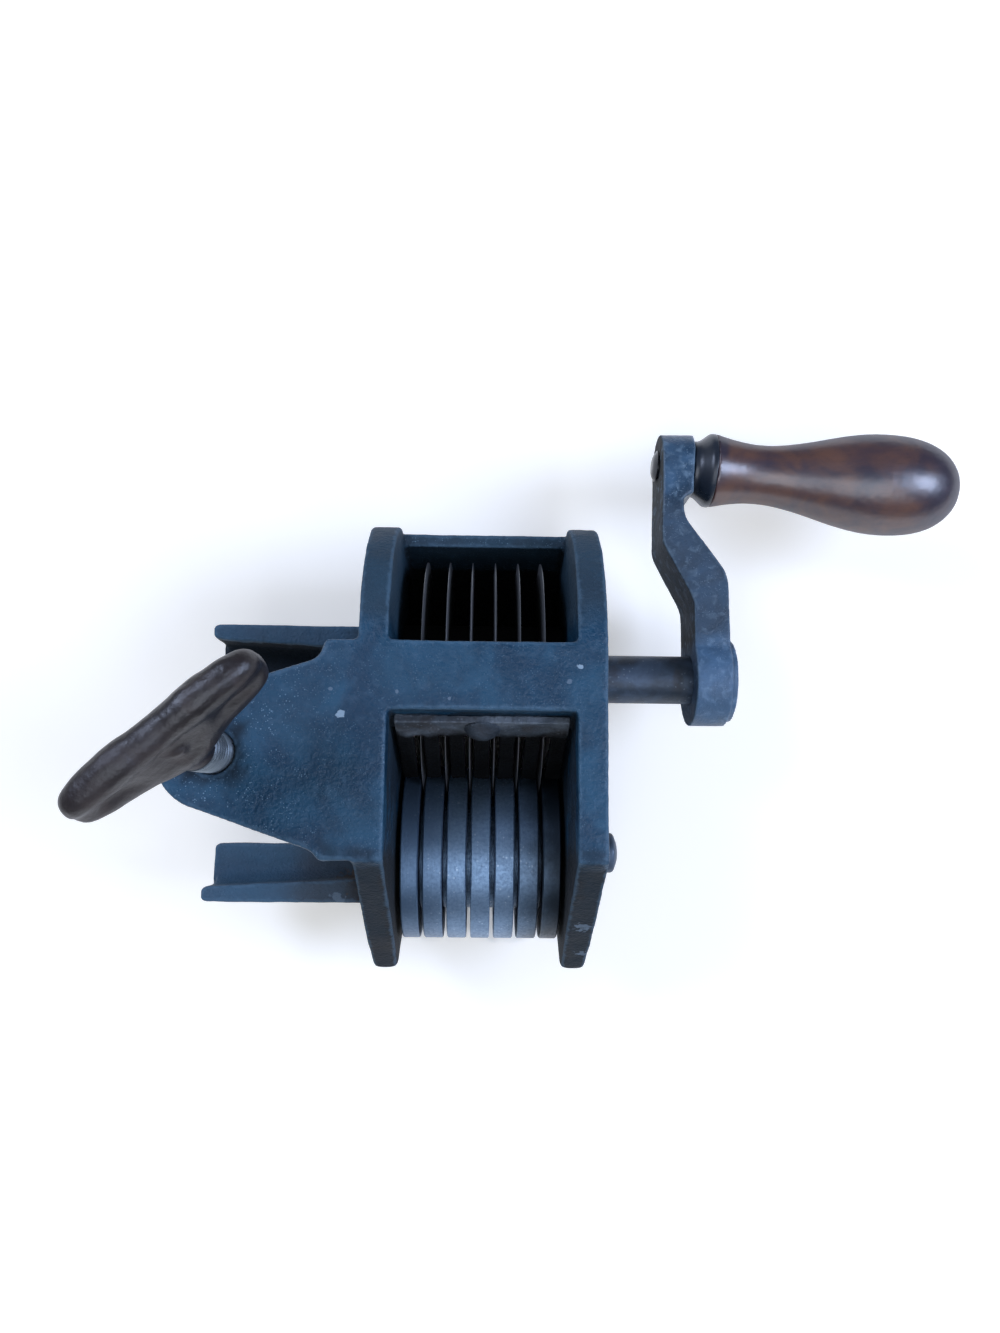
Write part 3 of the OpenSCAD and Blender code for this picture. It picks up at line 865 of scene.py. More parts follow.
def eased(points: list[tuple[float, float, float]], steps: int = 5) -> list[tuple[float, float]]:
    """Rounds the corners of a profile.

    Args:
        points: Distance along, radius, and how far the rounding reaches.
        steps: Points in each round.

    Returns:
        The profile with its corners rounded.
    """
    made = []
    for i, (s, r, bend) in enumerate(points):
        if bend <= 0:
            made.append((s, r))
            continue
        here = Vector((s, r))
        back = Vector(points[i - 1][:2]) - here
        ahead = Vector(points[(i + 1) % len(points)][:2]) - here
        start = here + back.normalized() * min(bend, back.length / 2)
        end = here + ahead.normalized() * min(bend, ahead.length / 2)
        for k in range(steps + 1):
            t = k / steps
            spot = (1 - t) ** 2 * start + 2 * t * (1 - t) * here + t * t * end
            made.append((spot.x, spot.y))
    return made


def settle(piece: bpy.types.Object) -> None:
    """Turns a piece's modifiers into its mesh.

    Args:
        piece: The piece.
    """
    graph = bpy.context.evaluated_depsgraph_get()
    made = bpy.data.meshes.new_from_object(piece.evaluated_get(graph))
    piece.modifiers.clear()
    piece.data = made


def positions(mesh: bpy.types.Mesh) -> np.ndarray:
    """Reads a mesh's points.

    Args:
        mesh: The mesh.

    Returns:
        A row for each point, in metres.
    """
    flat = np.empty(len(mesh.vertices) * 3)
    mesh.vertices.foreach_get("co", flat)
    return flat.reshape(-1, 3)


def normals(mesh: bpy.types.Mesh) -> np.ndarray:
    """Reads the directions in which a mesh's points face.

    Args:
        mesh: The mesh.

    Returns:
        A row for each point.
    """
    flat = np.empty(len(mesh.vertices) * 3, np.float32)
    mesh.vertex_normals.foreach_get("vector", flat)
    return flat.reshape(-1, 3).astype(float)


def smoother(piece: bpy.types.Object, rounds: int) -> bpy.types.Modifier:
    """Adds a modifier that evens out a piece's points.

    Args:
        piece: The piece.
        rounds: How often the points are evened out.

    Returns:
        The modifier.
    """
    soft = piece.modifiers.new("soft", "SMOOTH")
    soft.factor = 0.5
    soft.iterations = rounds
    return soft


def recast(piece: bpy.types.Object, voxel: float, rounds: int) -> None:
    """Gives a piece the soft, even skin of a casting.

    Args:
        piece: The piece, with a closed mesh.
        voxel: Size of the skin's faces.
        rounds: How often its edges are softened.
    """
    skin = piece.modifiers.new("skin", "REMESH")
    skin.mode = "VOXEL"
    skin.voxel_size = voxel * MM
    smoother(piece, rounds)
    settle(piece)
    piece.data.shade_smooth()


def soften(piece: bpy.types.Object, shares: np.ndarray, rounds: int, levels: int = 12) -> None:
    """Rounds off one part of a piece.

    Args:
        piece: The piece.
        shares: How far each point is softened, from 0 to 1.
        rounds: How often the points are softened.
        levels: Steps into which the shares are sorted.
    """
    group = piece.vertex_groups.new(name="soft_part")
    steps = np.round(shares * levels)
    for level in range(1, levels + 1):
        group.add([int(number) for number in np.flatnonzero(steps == level)], level / levels, "REPLACE")
    smoother(piece, rounds).vertex_group = group.name
    settle(piece)
    piece.vertex_groups.clear()


def paint_edges(piece: bpy.types.Object, rounds: int, reach: float) -> None:
    """Marks edges and hollows for the wear effect, by how far smoothing would move each point.

    Args:
        piece: A piece with an even skin.
        rounds: How far round a point the smoothing looks.
        reach: Movement that counts as a full edge.
    """
    mesh = piece.data
    start = positions(mesh)
    ends = np.empty(len(mesh.edges) * 2, np.int64)
    mesh.edges.foreach_get("vertices", ends)
    first, second = ends.reshape(-1, 2).T
    count = np.bincount(ends, minlength=len(start)).clip(1)[:, None]
    moved = start.copy()
    for _ in range(rounds):
        total = np.zeros_like(moved)
        for column in range(3):
            total[:, column] = np.bincount(first, moved[second, column], len(start))
            total[:, column] += np.bincount(second, moved[first, column], len(start))
        moved = total / count
    lift = np.einsum("ij,ij->i", moved - start, normals(mesh)) / (reach * MM)
    for name, level in (("edge", -lift), ("hollow", lift)):
        layer = mesh.attributes.new(name, "FLOAT", "POINT")
        layer.data.foreach_set("value", level.clip(0, 1).astype(np.float32))


def ripple(piece: bpy.types.Object, layers: tuple[tuple[float, float], ...]) -> None:
    """Raises and sinks a piece's skin a little.

    Args:
        piece: A piece with an even skin.
        layers: Features to the millimetre and height of each layer of noise.
    """
    mesh = piece.data
    spots = positions(mesh)
    lift = np.zeros(len(spots))
    for scale, height in layers:
        lift += height * MM * np.array([noise.noise(Vector(p)) for p in spots * (scale / MM)])
    spots += normals(mesh) * lift[:, None]
    mesh.vertices.foreach_set("co", spots.ravel())
    mesh.update()


class Workshop:
    """Makes pieces from the frame and sets them on their bodies."""

    def __init__(self, frame: dict[str, Any], frame_box: tuple[Vector, Vector]) -> None:
        """Keeps the frame, its box and an empty shelf of materials.

        Args:
            frame_box: The frame's corners.
        """
        self.frame = frame
        self.limits = np.array([list(corner) for corner in frame_box])
        self.shelf: dict[Finish, bpy.types.Material] = {}
        self.datum = Axis.of_joint(frame, "crank_turn").origin

    def iron(self, name: str, **values: Any) -> Iron:
        """Mixes an iron finish measured from the shaft."""
        return Iron(name=name, datum=self.datum, **values)

    def paint(self, piece: bpy.types.Object, finish: Finish) -> None:
        """Gives a piece its finish.

        Args:
            piece: The piece.
            finish: Its finish, whose material is made once.
        """
        if finish not in self.shelf:
            self.shelf[finish] = finish.material()
        piece.data.materials.clear()
        piece.data.materials.append(self.shelf[finish])

    def trim(self, mesh: bpy.types.Mesh) -> None:
        """Keeps a mesh inside the box of the whole frame.

        Args:
            mesh: The mesh, in place.
        """
        inside = np.clip(positions(mesh), self.limits[0], self.limits[1])
        mesh.vertices.foreach_set("co", inside.ravel())
        mesh.update()

    def seat(
        self, piece: bpy.types.Object, body: Body, slot: Slot, finish: Finish, *nodes: str
    ) -> bpy.types.Object:
        """Paints a piece and sets it on its body.

        Args:
            piece: The piece, in place.
            body: What carries it.
            slot: Its material slot; not used.
            finish: Its finish.
            nodes: The frame's nodes that it stands for.

        Returns:
            The piece.
        """
        self.trim(piece.data)
        self.paint(piece, finish)
        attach(piece, body.value)
        if nodes:
            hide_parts(*nodes)
        log.info("%s rides on %s", piece.name, body.value)
        return piece

    def cast(
        self, nodes: tuple[str, ...], name: str, voxel: float, rounds: int, grain: float
    ) -> bpy.types.Object:
        """Copies nodes as one casting with soft edges and an uneven skin.

        Args:
            nodes: The frame's nodes.
            name: The piece's name.
            voxel: Size of the skin's faces.
            rounds: How often its edges are softened.
            grain: Height of the unevenness.

        Returns:
            The piece.
        """
        work = bmesh.new()
        for node in nodes:
            work.from_mesh(self.frame["nodes"][node].data)
        mesh = bpy.data.meshes.new(name)
        work.to_mesh(mesh)
        work.free()
        weld(mesh)
        piece = add_object(name, mesh)
        recast(piece, voxel, rounds)
        paint_edges(piece, rounds=6, reach=0.28)
        ripple(piece, tuple((scale, share * grain) for scale, share in SKIN_LAYERS))
        return piece

    def box(self, node: str) -> tuple[Vector, Vector]:
        """Gives a node's corners in millimetres."""
        low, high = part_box(node)
        return low / MM, high / MM

    def bar(self, node: str, axis: Axis) -> tuple[float, float, float]:
        """Measures a round node that lies along X.

        Args:
            node: The node.
            axis: The axis that it turns about.

        Returns:
            Where it starts and ends, from the axis's origin, and its radius.
        """
        low, high = self.box(node)
        return low.x - axis.origin[0], high.x - axis.origin[0], (high.y - low.y) / 2


@dataclass
class FrameCasting:
    """The one casting that carries everything."""

    shop: Workshop
    voxel: float = 0.6
    rounds: int = 4
    grain: float = 0.11
    foot_l: float = 8.0
    foot_rounds: int = 60
    inside: float = 21.4
    face: float = 49.6

    def build(self) -> None:
        """Casts the frame and enamels it."""
        piece = self.shop.cast(("frame_casting",), "casting", self.voxel, self.rounds, self.grain)
        run = positions(piece.data)[:, 1]
        soften(piece, np.clip(1 - (run - run.min()) / (self.foot_l * MM), 0, 1), self.foot_rounds)
        self.shop.seat(piece, Body.FRAME, Slot.ENAMEL, self.enamel(), "frame_casting")

    def enamel(self) -> Enamel:
        """Mixes the frame's enamel, with its marks measured from the shaft.

        Returns:
            The finish.
        """
        inside, face = self.inside, self.face
        zones = (
            # Painted light: the prongs below the tongue are lightened where the tongue shades them.
            Zone((-80, -70, -30), (-29, 30, 36), 4, 0.4, "#4d687e"),
            # Painted shade: the upper prong's web under its flange is made near black.
            Zone((-80, -6, -40), (-32, 9.5, 1), 1.5, 0.88, "#05080b"),
            # Painted shade: a dark ring on the tongue round the screw's bore.
            Zone((-62.5, -27.5, 45), (-54.5, -20, 52), 4.5, 0.8, "#0a1016"),
            Zone((-30, 12, -20), (30, 45, 60), 8, 0.65, "#263640"),
            Zone((-30, -95, -45), (30, -48, 46), 6, 0.9, "#0b141a"),
            # Painted shade: the inside of the hood, deep between the cheeks, is made near black.
            Zone((-inside, -16, -45), (inside, 36, -9), 3, 0.95, "#040506"),
            # Painted shade: surfaces between the cheeks, below the face, are darkened.
            Zone((-inside, -90, -45), (inside, -12, 43), 1.5, 0.7, "#12161a"),
            Zone((-42, -66, -14), (-27, -44, 6), 12, 0.5, "#3b342d"),
        )
        patches = (
            Patch((-31.4, -14.8, face), 1.0, Mark.CHIP),
            Patch((-33.6, -9.2, face), 0.5, Mark.SCUFF),
            Patch((21.6, -3.6, face), 0.7, Mark.CHIP),
            Patch((19.3, -7.0, face), 0.6, Mark.SCUFF),
            Patch((25.9, 9.9, face - 2.5), 0.8, Mark.CHIP),
            Patch((-19.1, -9.7, face), 0.5, Mark.SCUFF),
            Patch((-7.3, -11.0, face), 0.4, Mark.SCUFF),
            Patch((-32.6, -57.0, -4.0), 6.5, Mark.RUST),
            Patch((-37.0, -59.0, 3.0), 2.0, Mark.SCUFF),
            Patch((25.0, -62.0, 20.0), 3.0, Mark.SCUFF),
            Patch((26.0, -70.0, 6.0), 2.4, Mark.SCUFF),
            Patch((-25.0, -77.5, -4.6), 2.0, Mark.CHIP),
        )
        return Enamel(
            name="slate_enamel",
            roughness=0.34,
            metallic=0.0,
            bump=0.34,
            gloss=0.32,
            datum=self.shop.datum,
            deep="#0c3047",
            pale="#1b465f",
            film_and_shade="#1e3239",
            film_share=0.15,
            speck="#7d9db4",
            worn="#547187",
            scuffs=0.12,
            grain=1.3,
            glitter=(
                # Painted glints: denser light flecks on the tongue round the screw.
                Stretch((-66, -36, 44), (-50, -8, 54), 20, 0.5),
                # Painted light: dense light flecks brighten the hood's inner wall.
                Stretch((-22, 30, -30), (22, 46, 60), 2, 1.4),
            ),
            zones=zones,
            patches=patches,
        )


@dataclass
class StripperComb:
    """The comb between the blades and its domed screw."""

    shop: Workshop
    voxel: float = 0.36
    shade_top: float = 36.0

    def build(self) -> None:
        """Makes the rough comb and its screw."""
        # Painted shade: the comb's fingers below this height, which lie in shade between the blades, are made
        # near black.
        comb_shade = Zone((-30, -40, -45), (30, 10, self.shade_top), 3.5, 0.97, "#030303")
        finish = self.shop.iron(
            "rough_iron",
            roughness=0.7,
            metallic=0.0,
            bump=0.35,
            gloss=0.08,
            deep="#383e44",
            pale="#6a727a",
            bloom="#3b332d",
            bloom_share=0.45,
            edge="#7b838a",
            grain=1.4,
            specks=0.9,
            zones=(comb_shade,),
        )
        comb = self.shop.cast(("stripper_comb",), "comb", self.voxel, 3, 0.18)
        self.shop.seat(comb, Body.FRAME, Slot.ROUGH, finish, "stripper_comb")
        screw = self.shop.cast(("comb_screw",), "comb_dome", self.voxel, 3, 0.1)
        dome = replace(finish, name="dome_iron", deep="#1f2429", pale="#3d444b", edge="#59626a")
        self.shop.seat(screw, Body.FRAME, Slot.ROUGH, dome, "comb_screw")


def dark_iron(shop: Workshop) -> Iron:
    """Mixes the finish of the turned bars, dark with a brown bloom.

    Args:
        shop: Where it is mixed.

    Returns:
        The finish.
    """
    return shop.iron(
        "dark_iron",
        roughness=0.4,
        metallic=0.3,
        bump=0.08,
        gloss=0.45,
        deep="#2d3742",
        pale="#4c5c6f",
        bloom="#3d3937",
        bloom_share=0.45,
        edge="#7c8a97",
        grain=1.6,
        specks=0.8,
    )


@dataclass
class Roller:
    """The grooved roller and its axle bolt."""

    shop: Workshop
    axis: Axis
    blades: list[float]
    groove_w: float = 1.1
    groove_r: float = 14.7
    bore_r: float = 4.06
    axle_r: float = 4.0
    edge: float = 0.3
    head_l: float = 4.8
    dome_h: float = 1.2

    def build(self) -> None:
        """Turns the roller and its axle."""
        left, right, radius = self.shop.bar("grooved_roller", self.axis)
        profile = [(left, self.bore_r), (left, radius - self.edge), (left + self.edge, radius)]
        for blade in self.blades:
            near = blade - self.axis.origin[0] - self.groove_w / 2
            far = near + self.groove_w
            profile += [(near - self.edge, radius), (near, radius - self.edge), (near, self.groove_r)]
            profile += [(far, self.groove_r), (far, radius - self.edge), (far + self.edge, radius)]
        profile += [(right - self.edge, radius), (right, radius - self.edge), (right, self.bore_r)]
        steel = TurnedSteel(
            name="roller_steel",
            roughness=0.33,
            metallic=0.75,
            bump=0.03,
            gloss=0.4,
            datum=self.axis.origin,
            pale="#768fa9",
            stain="#5a7089",
            rim="#768fa9",
            rim_from=radius,
            speck="#bccddd",
            zones=(
                # Painted shade: the rings darken towards the cheeks, strongly on the right where the right
                # cheek shades them.
                Zone((19, -50, -50), (30, 50, 50), 15, 0.95, "#1c242b"),
                Zone((-30, -50, -50), (-16, 50, 50), 12, 0.75, "#4b6077"),
            ),
        )
        roller = self.axis.turned(profile, 160, closed=True).piece("roller_rings")
        self.shop.seat(roller, Body.ROLLER, Slot.ROLLER, steel, "grooved_roller")
        self._axle()

    def _axle(self) -> None:
        """Turns the axle bolt with its domed head."""
        left, right, head_r = self.shop.bar("roller_axle", self.axis)
        under = right - self.head_l
        profile = eased(
            [
                (left, 0, 0),
                (left, self.axle_r, 0.5),
                (under, self.axle_r, 0),
                (under, head_r, 0.3),
                (right - self.dome_h, head_r, 0.8),
                (right, head_r * 0.45, 2.0),
                (right, 0, 0),
            ]
        )
        bolt = self.axis.turned(profile).piece("axle_bolt")
        self.shop.seat(bolt, Body.FRAME, Slot.DARK, dark_iron(self.shop), "roller_axle")


@dataclass
class SlicingRotor:
    """The blades on their shaft."""

    shop: Workshop
    axis: Axis
    bevel: float = 3.0
    edge_t: float = 0.18
    hole_r: float = 6.4
    journal_r: float = 4.4
    core_r: float = 4.5
    journal_l: float = 7.0

    def blade_nodes(self) -> list[str]:
        """Lists the blades' nodes from left to right."""
        return sorted(n for n in self.shop.frame["nodes"] if n.startswith("blade_"))

    def centres(self) -> list[float]:
        """Gives each blade's place along the shaft."""
        boxes = [self.shop.box(n) for n in self.blade_nodes()]
        return [(low.x + high.x) / 2 for low, high in boxes]

    def build(self) -> None:
        """Grinds the blades, turns the shaft and dresses what sits between."""
        for node in self.blade_nodes():
            self._blade(node)
        self._shaft()
        for node in self.shop.frame["bodies"]["rotor"].children:
            if node.name.startswith(("spacer_", "end_collar_", "collar_")):
                self.shop.paint(node, self._soot())

    def _soot(self) -> Iron:
        """Mixes the sooty finish of what sits between the blades.

        Returns:
            The finish.
        """
        return self.shop.iron(
            "sooty_iron",
            roughness=0.65,
            metallic=0.1,
            bump=0.15,
            gloss=0.25,
            deep="#0c0c0d",
            pale="#19191a",
            bloom="#1d1815",
            bloom_share=0.4,
            edge="#3a3b3c",
            grain=1.2,
            specks=0.5,
        )

    def _blade(self, node: str) -> None:
        """Turns one blade.

        Args:
            node: The blade's node.
        """
        left, right, radius = self.shop.bar(node, self.axis)
        middle = (left + right) / 2
        thin = self.edge_t / 2
        shoulder = radius - self.bevel
        profile = [
            (left, self.hole_r),
            (left, shoulder),
            (middle - thin, radius),
            (middle + thin, radius),
            (right, shoulder),
            (right, self.hole_r),
        ]
        steel = TurnedSteel(
            name="blade_steel",
            roughness=0.34,
            metallic=0.6,
            bump=0.02,
            gloss=0.5,
            datum=self.axis.origin,
            pale="#5b5d5e",
            stain="#434546",
            rim="#85878a",
            rim_from=shoulder,
            speck="#8f9396",
        )
        blade = self.axis.turned(profile, 180, closed=True).piece(node.replace("blade", "slicing_blade"))
        self.shop.seat(blade, Body.ROTOR, Slot.BLADE, steel, node)

    def _shaft(self) -> None:
        """Turns the shaft with its journal."""
        left, right, radius = self.shop.bar("crank_shaft", self.axis)
        shoulder = -left - self.journal_l
        profile = eased(
            [
                (left, 0, 0),
                (left, self.journal_r, 0.5),
                (left + self.journal_l, self.journal_r, 0),
                (left + self.journal_l, self.core_r, 0),
                (shoulder, self.core_r, 0),
                (shoulder, radius, 0),
                (right, radius, 0.7),
                (right, 0, 0),
            ]
        )
        shaft = self.axis.turned(profile).piece("shaft_bar")
        self.shop.seat(shaft, Body.ROTOR, Slot.DARK, dark_iron(self.shop), "crank_shaft")


@dataclass
class Crank:
    """The bent arm."""

    shop: Workshop
    voxel: float = 0.42

    def build(self) -> None:
        """Casts the arm with its pin, which the paint hides."""
        enamel = Enamel(
            name="crank_enamel",
            roughness=0.3,
            metallic=0.0,
            bump=0.16,
            gloss=0.5,
            datum=self.shop.datum,
            deep="#1e3446",
            pale="#36546e",
            film_and_shade="#222423",
            film_share=0.35,
            # Painted shade on the arm's left-facing side, in the film colour.
            shaded_side=(-1.0, 0.0, 0.0),
            speck="#8ba2b4",
            worn="#6d8597",
            scuffs=0.5,
            grain=1.6,
            glitter=(Stretch((40, -20, -20), (80, 80, 40), 5, 0.2),),
            zones=(
                # Painted highlight: the hub end is lightened.
                Zone((40, -14, -20), (80, 6, 40), 6, 0.35, "#55799b"),
                Zone((40, 16, -20), (80, 44, 40), 7, 0.5, "#1b2a37"),
            ),
        )
        nodes = ("crank_arm", "crank_pin")
        arm = self.shop.cast(nodes, "bent_arm", self.voxel, 5, 0.1)
        self.shop.seat(arm, Body.ROTOR, Slot.ENAMEL, enamel, *nodes)


@dataclass
class Handle:
    """The grip, its ferrule and the spindle that they turn on."""

    shop: Workshop
    axis: Axis
    arm_half: float = 4.7
    spindle_r: float = 3.2
    rivet_r: float = 4.4
    rivet_h: float = 1.2
    head_r: float = 4.8
    head_h: float = 2.0
    dome_h: float = 0.7
    ferrule_at: float = 4.95
    ferrule_l: float = 6.0
    ferrule_r: float = 7.75
    bead_r: float = 10.2
    cuff_l: float = 1.6
    bead_l: float = 1.4
    bore_r: float = 3.26
    voxel: float = 0.4

    def build(self) -> None:
        """Makes the three pieces."""
        self._spindle()
        self._ferrule()
        walnut = Varnish(
            name="varnished_wood",
            roughness=0.5,
            metallic=0.0,
            bump=0.05,
            gloss=0.0,
            datum=self.axis.origin,
            deep="#1e1729",
            mid="#2c2232",
            red="#402c31",
            coat=0.55,
            zones=(
                Zone((14, -30, -30), (62, 0, 30), 9, 0.6, "#70472e"),
                Zone((46, 4, -30), (58, 30, 30), 6, 0.6, "#5e3f38"),
            ),
        )
        grip = self.shop.cast(("handle_grip",), "turned_grip", self.voxel, 6, 0.05)
        self.shop.seat(grip, Body.HANDLE, Slot.WOOD, walnut, "handle_grip")

    def _spindle(self) -> None:
        """Turns the spindle, riveted at the arm and headed in the grip's end."""
        end = self.shop.box("handle_spindle")[1].x
        head_at = (end - self.axis.origin[0]) / self.axis.direction[0] - self.dome_h
        under = head_at - self.head_h
        profile = eased(
            [
                (-self.arm_half - self.rivet_h, 0, 0),
                (-self.arm_half - self.rivet_h, 0.6 * self.rivet_r, 1.4),
                (-self.arm_half, self.rivet_r, 0.3),
                (-self.arm_half, self.spindle_r, 0),
                (under, self.spindle_r, 0),
                (under, self.head_r, 0.3),
                (head_at, self.head_r, 0.6),
                (head_at + self.dome_h, 0.5 * self.head_r, 1.5),
                (head_at + self.dome_h, 0, 0),
            ]
        )
        spindle = self.axis.turned(profile).piece("spindle_rod")
        self.shop.seat(spindle, Body.ROTOR, Slot.DARK, self._black(), "handle_spindle")

    def _ferrule(self) -> None:
        """Turns the black cone between the arm and the grip."""
        start, end = self.ferrule_at, self.ferrule_at + self.ferrule_l
        profile = eased(
            [
                (start, self.bore_r, 0),
                (start, self.ferrule_r, 0.6),
                (start + self.cuff_l, self.ferrule_r, 1.2),
                (end - self.bead_l, self.bead_r, 0.9),
                (end, self.bead_r, 0.3),
                (end, self.bore_r, 0),
            ]
        )
        ferrule = self.axis.turned(profile, closed=True).piece("ferrule_cone")
        self.shop.seat(ferrule, Body.HANDLE, Slot.BLACK, self._black(), "handle_ferrule")

    def _black(self) -> Iron:
        """Mixes the smooth black of the ferrule and the spindle.

        Returns:
            The finish.
        """
        return self.shop.iron(
            "black_iron",
            roughness=0.2,
            metallic=0.0,
            bump=0.03,
            gloss=0.6,
            deep="#0e141c",
            pale="#1a2430",
            bloom="#1d1c20",
            bloom_share=0.3,
            edge="#46515c",
            grain=0.8,
            specks=0.3,
        )


@dataclass
class Clamp:
    """The wing screw and its swivel pad."""

    shop: Workshop
    axis: Axis
    thread_r: float = 4.85
    root_r: float = 4.05
    pitch: float = 2.0
    tip_r: float = 3.4
    tip_l: float = 3.0
    thread_from: float = 4.75
    neck_at: float = 39.7
    wing_at: float = 56.8
    wing_half: float = 23.0
    wing_turn: float = 41.2
    lobe_set: float = 2.8
    lobe_r: float = 4.0
    waist_r: float = 3.5
    hollow: float = 1.3
    ridge_set: float = 1.7
    ridge_r: float = 4.5
    ridge_tip_r: float = 4.0
    ridge_swell: float = 0.9
    ridge_root_h: float = 5.8
    ridge_drop: float = 6.8
    ridge_reach: float = 0.85
    swell_reach: float = 0.6
    lobe_reach: float = 0.95
    top_rise: float = 0.6
    hollow_from: float = 0.25
    hollow_reach: float = 0.7
    tip_bluntness: int = 9
    tip_share: float = 0.3
    neck_r: float = 3.6
    neck_l: float = 7.0
    neck_end_r: float = 2.5
    crest: float = 0.12
    voxel: float = 0.42
    rounds: int = 22
    dents: tuple[tuple[float, float], ...] = ((0.09, 0.35), (0.26, 0.22))
    pad_r: float = 11.0
    pad_h: float = 4.5
    pad_rim: float = 2.2
    pad_collar: float = 6.4
    pad_play: float = 0.25
    socket_gap: float = 0.06

    def build(self) -> None:
        """Forges the wing, cuts the thread and turns the pad."""
        wing = (self._wing() + self._neck()).piece("wing_grip")
        recast(wing, self.voxel, self.rounds)
        paint_edges(wing, rounds=8, reach=0.3)
        ripple(wing, self.dents)
        forged = self._forged()
        self.shop.seat(wing, Body.SCREW, Slot.FORGED, forged, "clamp_screw")
        thread = self._thread().piece("clamp_thread", crease=180)
        self.shop.seat(thread, Body.SCREW, Slot.FORGED, self._bright())
        pad = self._pad().piece("swivel_pad")
        self.shop.seat(pad, Body.PAD, Slot.FORGED, forged, "clamp_pad")

    def _forged(self) -> Iron:
        """Mixes the wing's smooth brown-black finish.

        Returns:
            The finish.
        """
        return self.shop.iron(
            "forged_iron",
            roughness=0.33,
            metallic=0.0,
            bump=0.2,
            gloss=0.6,
            deep="#130e10",
            pale="#21191a",
            bloom="#2b1c19",
            bloom_share=0.45,
            edge="#312726",
            grain=0.7,
            specks=0.35,
        )

    def _bright(self) -> Iron:
        """Mixes the thread's bright finish.

        Returns:
            The finish.
        """
        return self.shop.iron(
            "bright_thread",
            roughness=0.16,
            metallic=0.8,
            bump=0.0,
            gloss=0.5,
            deep="#5a646d",
            pale="#98a4ae",
            bloom="#4a4540",
            bloom_share=0.2,
            edge="#b3bdc4",
            grain=1.2,
            specks=0.2,
        )

    def _section(self, along: float) -> np.ndarray:
        """Gives the wing's outline where it crosses a plane.

        Args:
            along: Distance from the screw's axis, along the wing.

        Returns:
            Points across the wing and above the pad's face.
        """
        share = abs(along) / self.wing_half
        close = math.sqrt(max(0.0, 1 - share**self.tip_bluntness))
        lobe = math.sin(math.pi * min(1.0, share / self.lobe_reach)) ** 2
        swell = self.ridge_swell * math.cos(math.pi / 2 * min(1.0, share / self.swell_reach)) ** 2
        top = self.waist_r + (self.lobe_r - self.waist_r) * lobe
        low = self.ridge_r + (self.ridge_tip_r - self.ridge_r) * share + swell
        low_set = self.ridge_set - swell
        into = min(1.0, max(0.0, share - self.hollow_from) / self.hollow_reach)
        dip = self.hollow * math.sin(math.pi * into) ** 2
        top_at = self.wing_at + self.top_rise * math.sin(math.pi * share)
        root_at = self.neck_at + self.ridge_root_h
        fall = self.wing_at - self.ridge_drop - root_at
        low_at = root_at + fall * min(1.0, share / self.ridge_reach)
        middle = (top_at + low_at) / 2
        turns = np.radians([90, 60, 30, 0, -25])
        top_arc = [(top * math.cos(t), top_at + top * math.sin(t)) for t in turns]
        low_arc = [(low * math.cos(t), low_at - low * math.sin(t)) for t in turns[::-1]]
        inner = (self.lobe_set + low_set) / 2
        flank = (top_arc[-1][0] + low_arc[0][0]) / 2 - dip
        right = [(self.lobe_set - out, up) for out, up in top_arc]
        right.append((inner - flank, middle))
        right += [(low_set - out, up) for out, up in low_arc]
        left = [(low_set + out, up) for out, up in low_arc[-2::-1]]
        left.append((inner + flank, middle))
        left += [(self.lobe_set + out, up) for out, up in top_arc[:0:-1]]
        centre = np.array([inner, middle])
        return centre + (np.array(right + left) - centre) * (self.tip_share + (1 - self.tip_share) * close)

    def _wing(self) -> Shape:
        """Lofts the wing from tip to tip.

        Returns:
            The shape.
        """
        turn = math.radians(self.wing_turn)
        run = np.array([math.cos(turn), math.sin(turn), 0.0])
        side = np.array([-math.sin(turn), math.cos(turn), 0.0])
        rows = []
        for along in self.wing_half * np.sin(np.linspace(-math.pi / 2, math.pi / 2, 49)):
            section = self._section(along)
            flat = np.array(self.axis.origin) + along * run + section[:, :1] * side
            rows.append(flat + section[:, 1:] * np.array([0.0, 0.0, 1.0]))
        first = tuple(range(len(rows[0])))
        last = tuple(i + len(first) * (len(rows) - 1) for i in first)
        shape = woven(rows)
        return Shape(shape.points, shape.faces + [first, last])

    def _neck(self) -> Shape:
        """Turns the cone between the thread and the wing.

        Returns:
            The shape.
        """
        profile = [
            (self.neck_at, 0),
            (self.neck_at, self.thread_r - 0.1),
            (self.neck_at + 2, self.thread_r - 0.2),
            (self.neck_at + self.neck_l, self.neck_r),
            (self.wing_at - self.waist_r, self.neck_end_r),
            (self.wing_at - self.waist_r, 0),
        ]
        return self.axis.turned(profile, 48)

    def _thread(self, columns: int = 96, cuts: int = 14) -> Shape:
        """Winds a right-handed thread.

        Args:
            columns: Points round the screw.
            cuts: Rings to each turn.

        Returns:
            The shape, with the plain tip under it.
        """
        turns = np.arange(columns) / columns
        steps = int((self.neck_at + 0.5 - self.thread_from) / self.pitch * cuts)
        rows = [self.axis.ring(self.thread_from - self.tip_l, np.full(columns, r)) for r in (0.0, self.tip_r)]
        rows.append(self.axis.ring(self.thread_from, np.full(columns, self.tip_r)))
        for step in range(steps + 1):
            along = self.thread_from + step * self.pitch / cuts
            phase = (along / self.pitch - turns) % 1.0
            tooth = np.clip((1 - np.abs(2 * phase - 1) - self.crest) / (1 - 2 * self.crest), 0, 1)
            lead = min(1.0, step / cuts)
            rows.append(self.axis.ring(along, self.root_r + (self.thread_r - self.root_r) * tooth * lead))
        rows.append(self.axis.ring(along, np.zeros(columns)))
        return woven(rows)

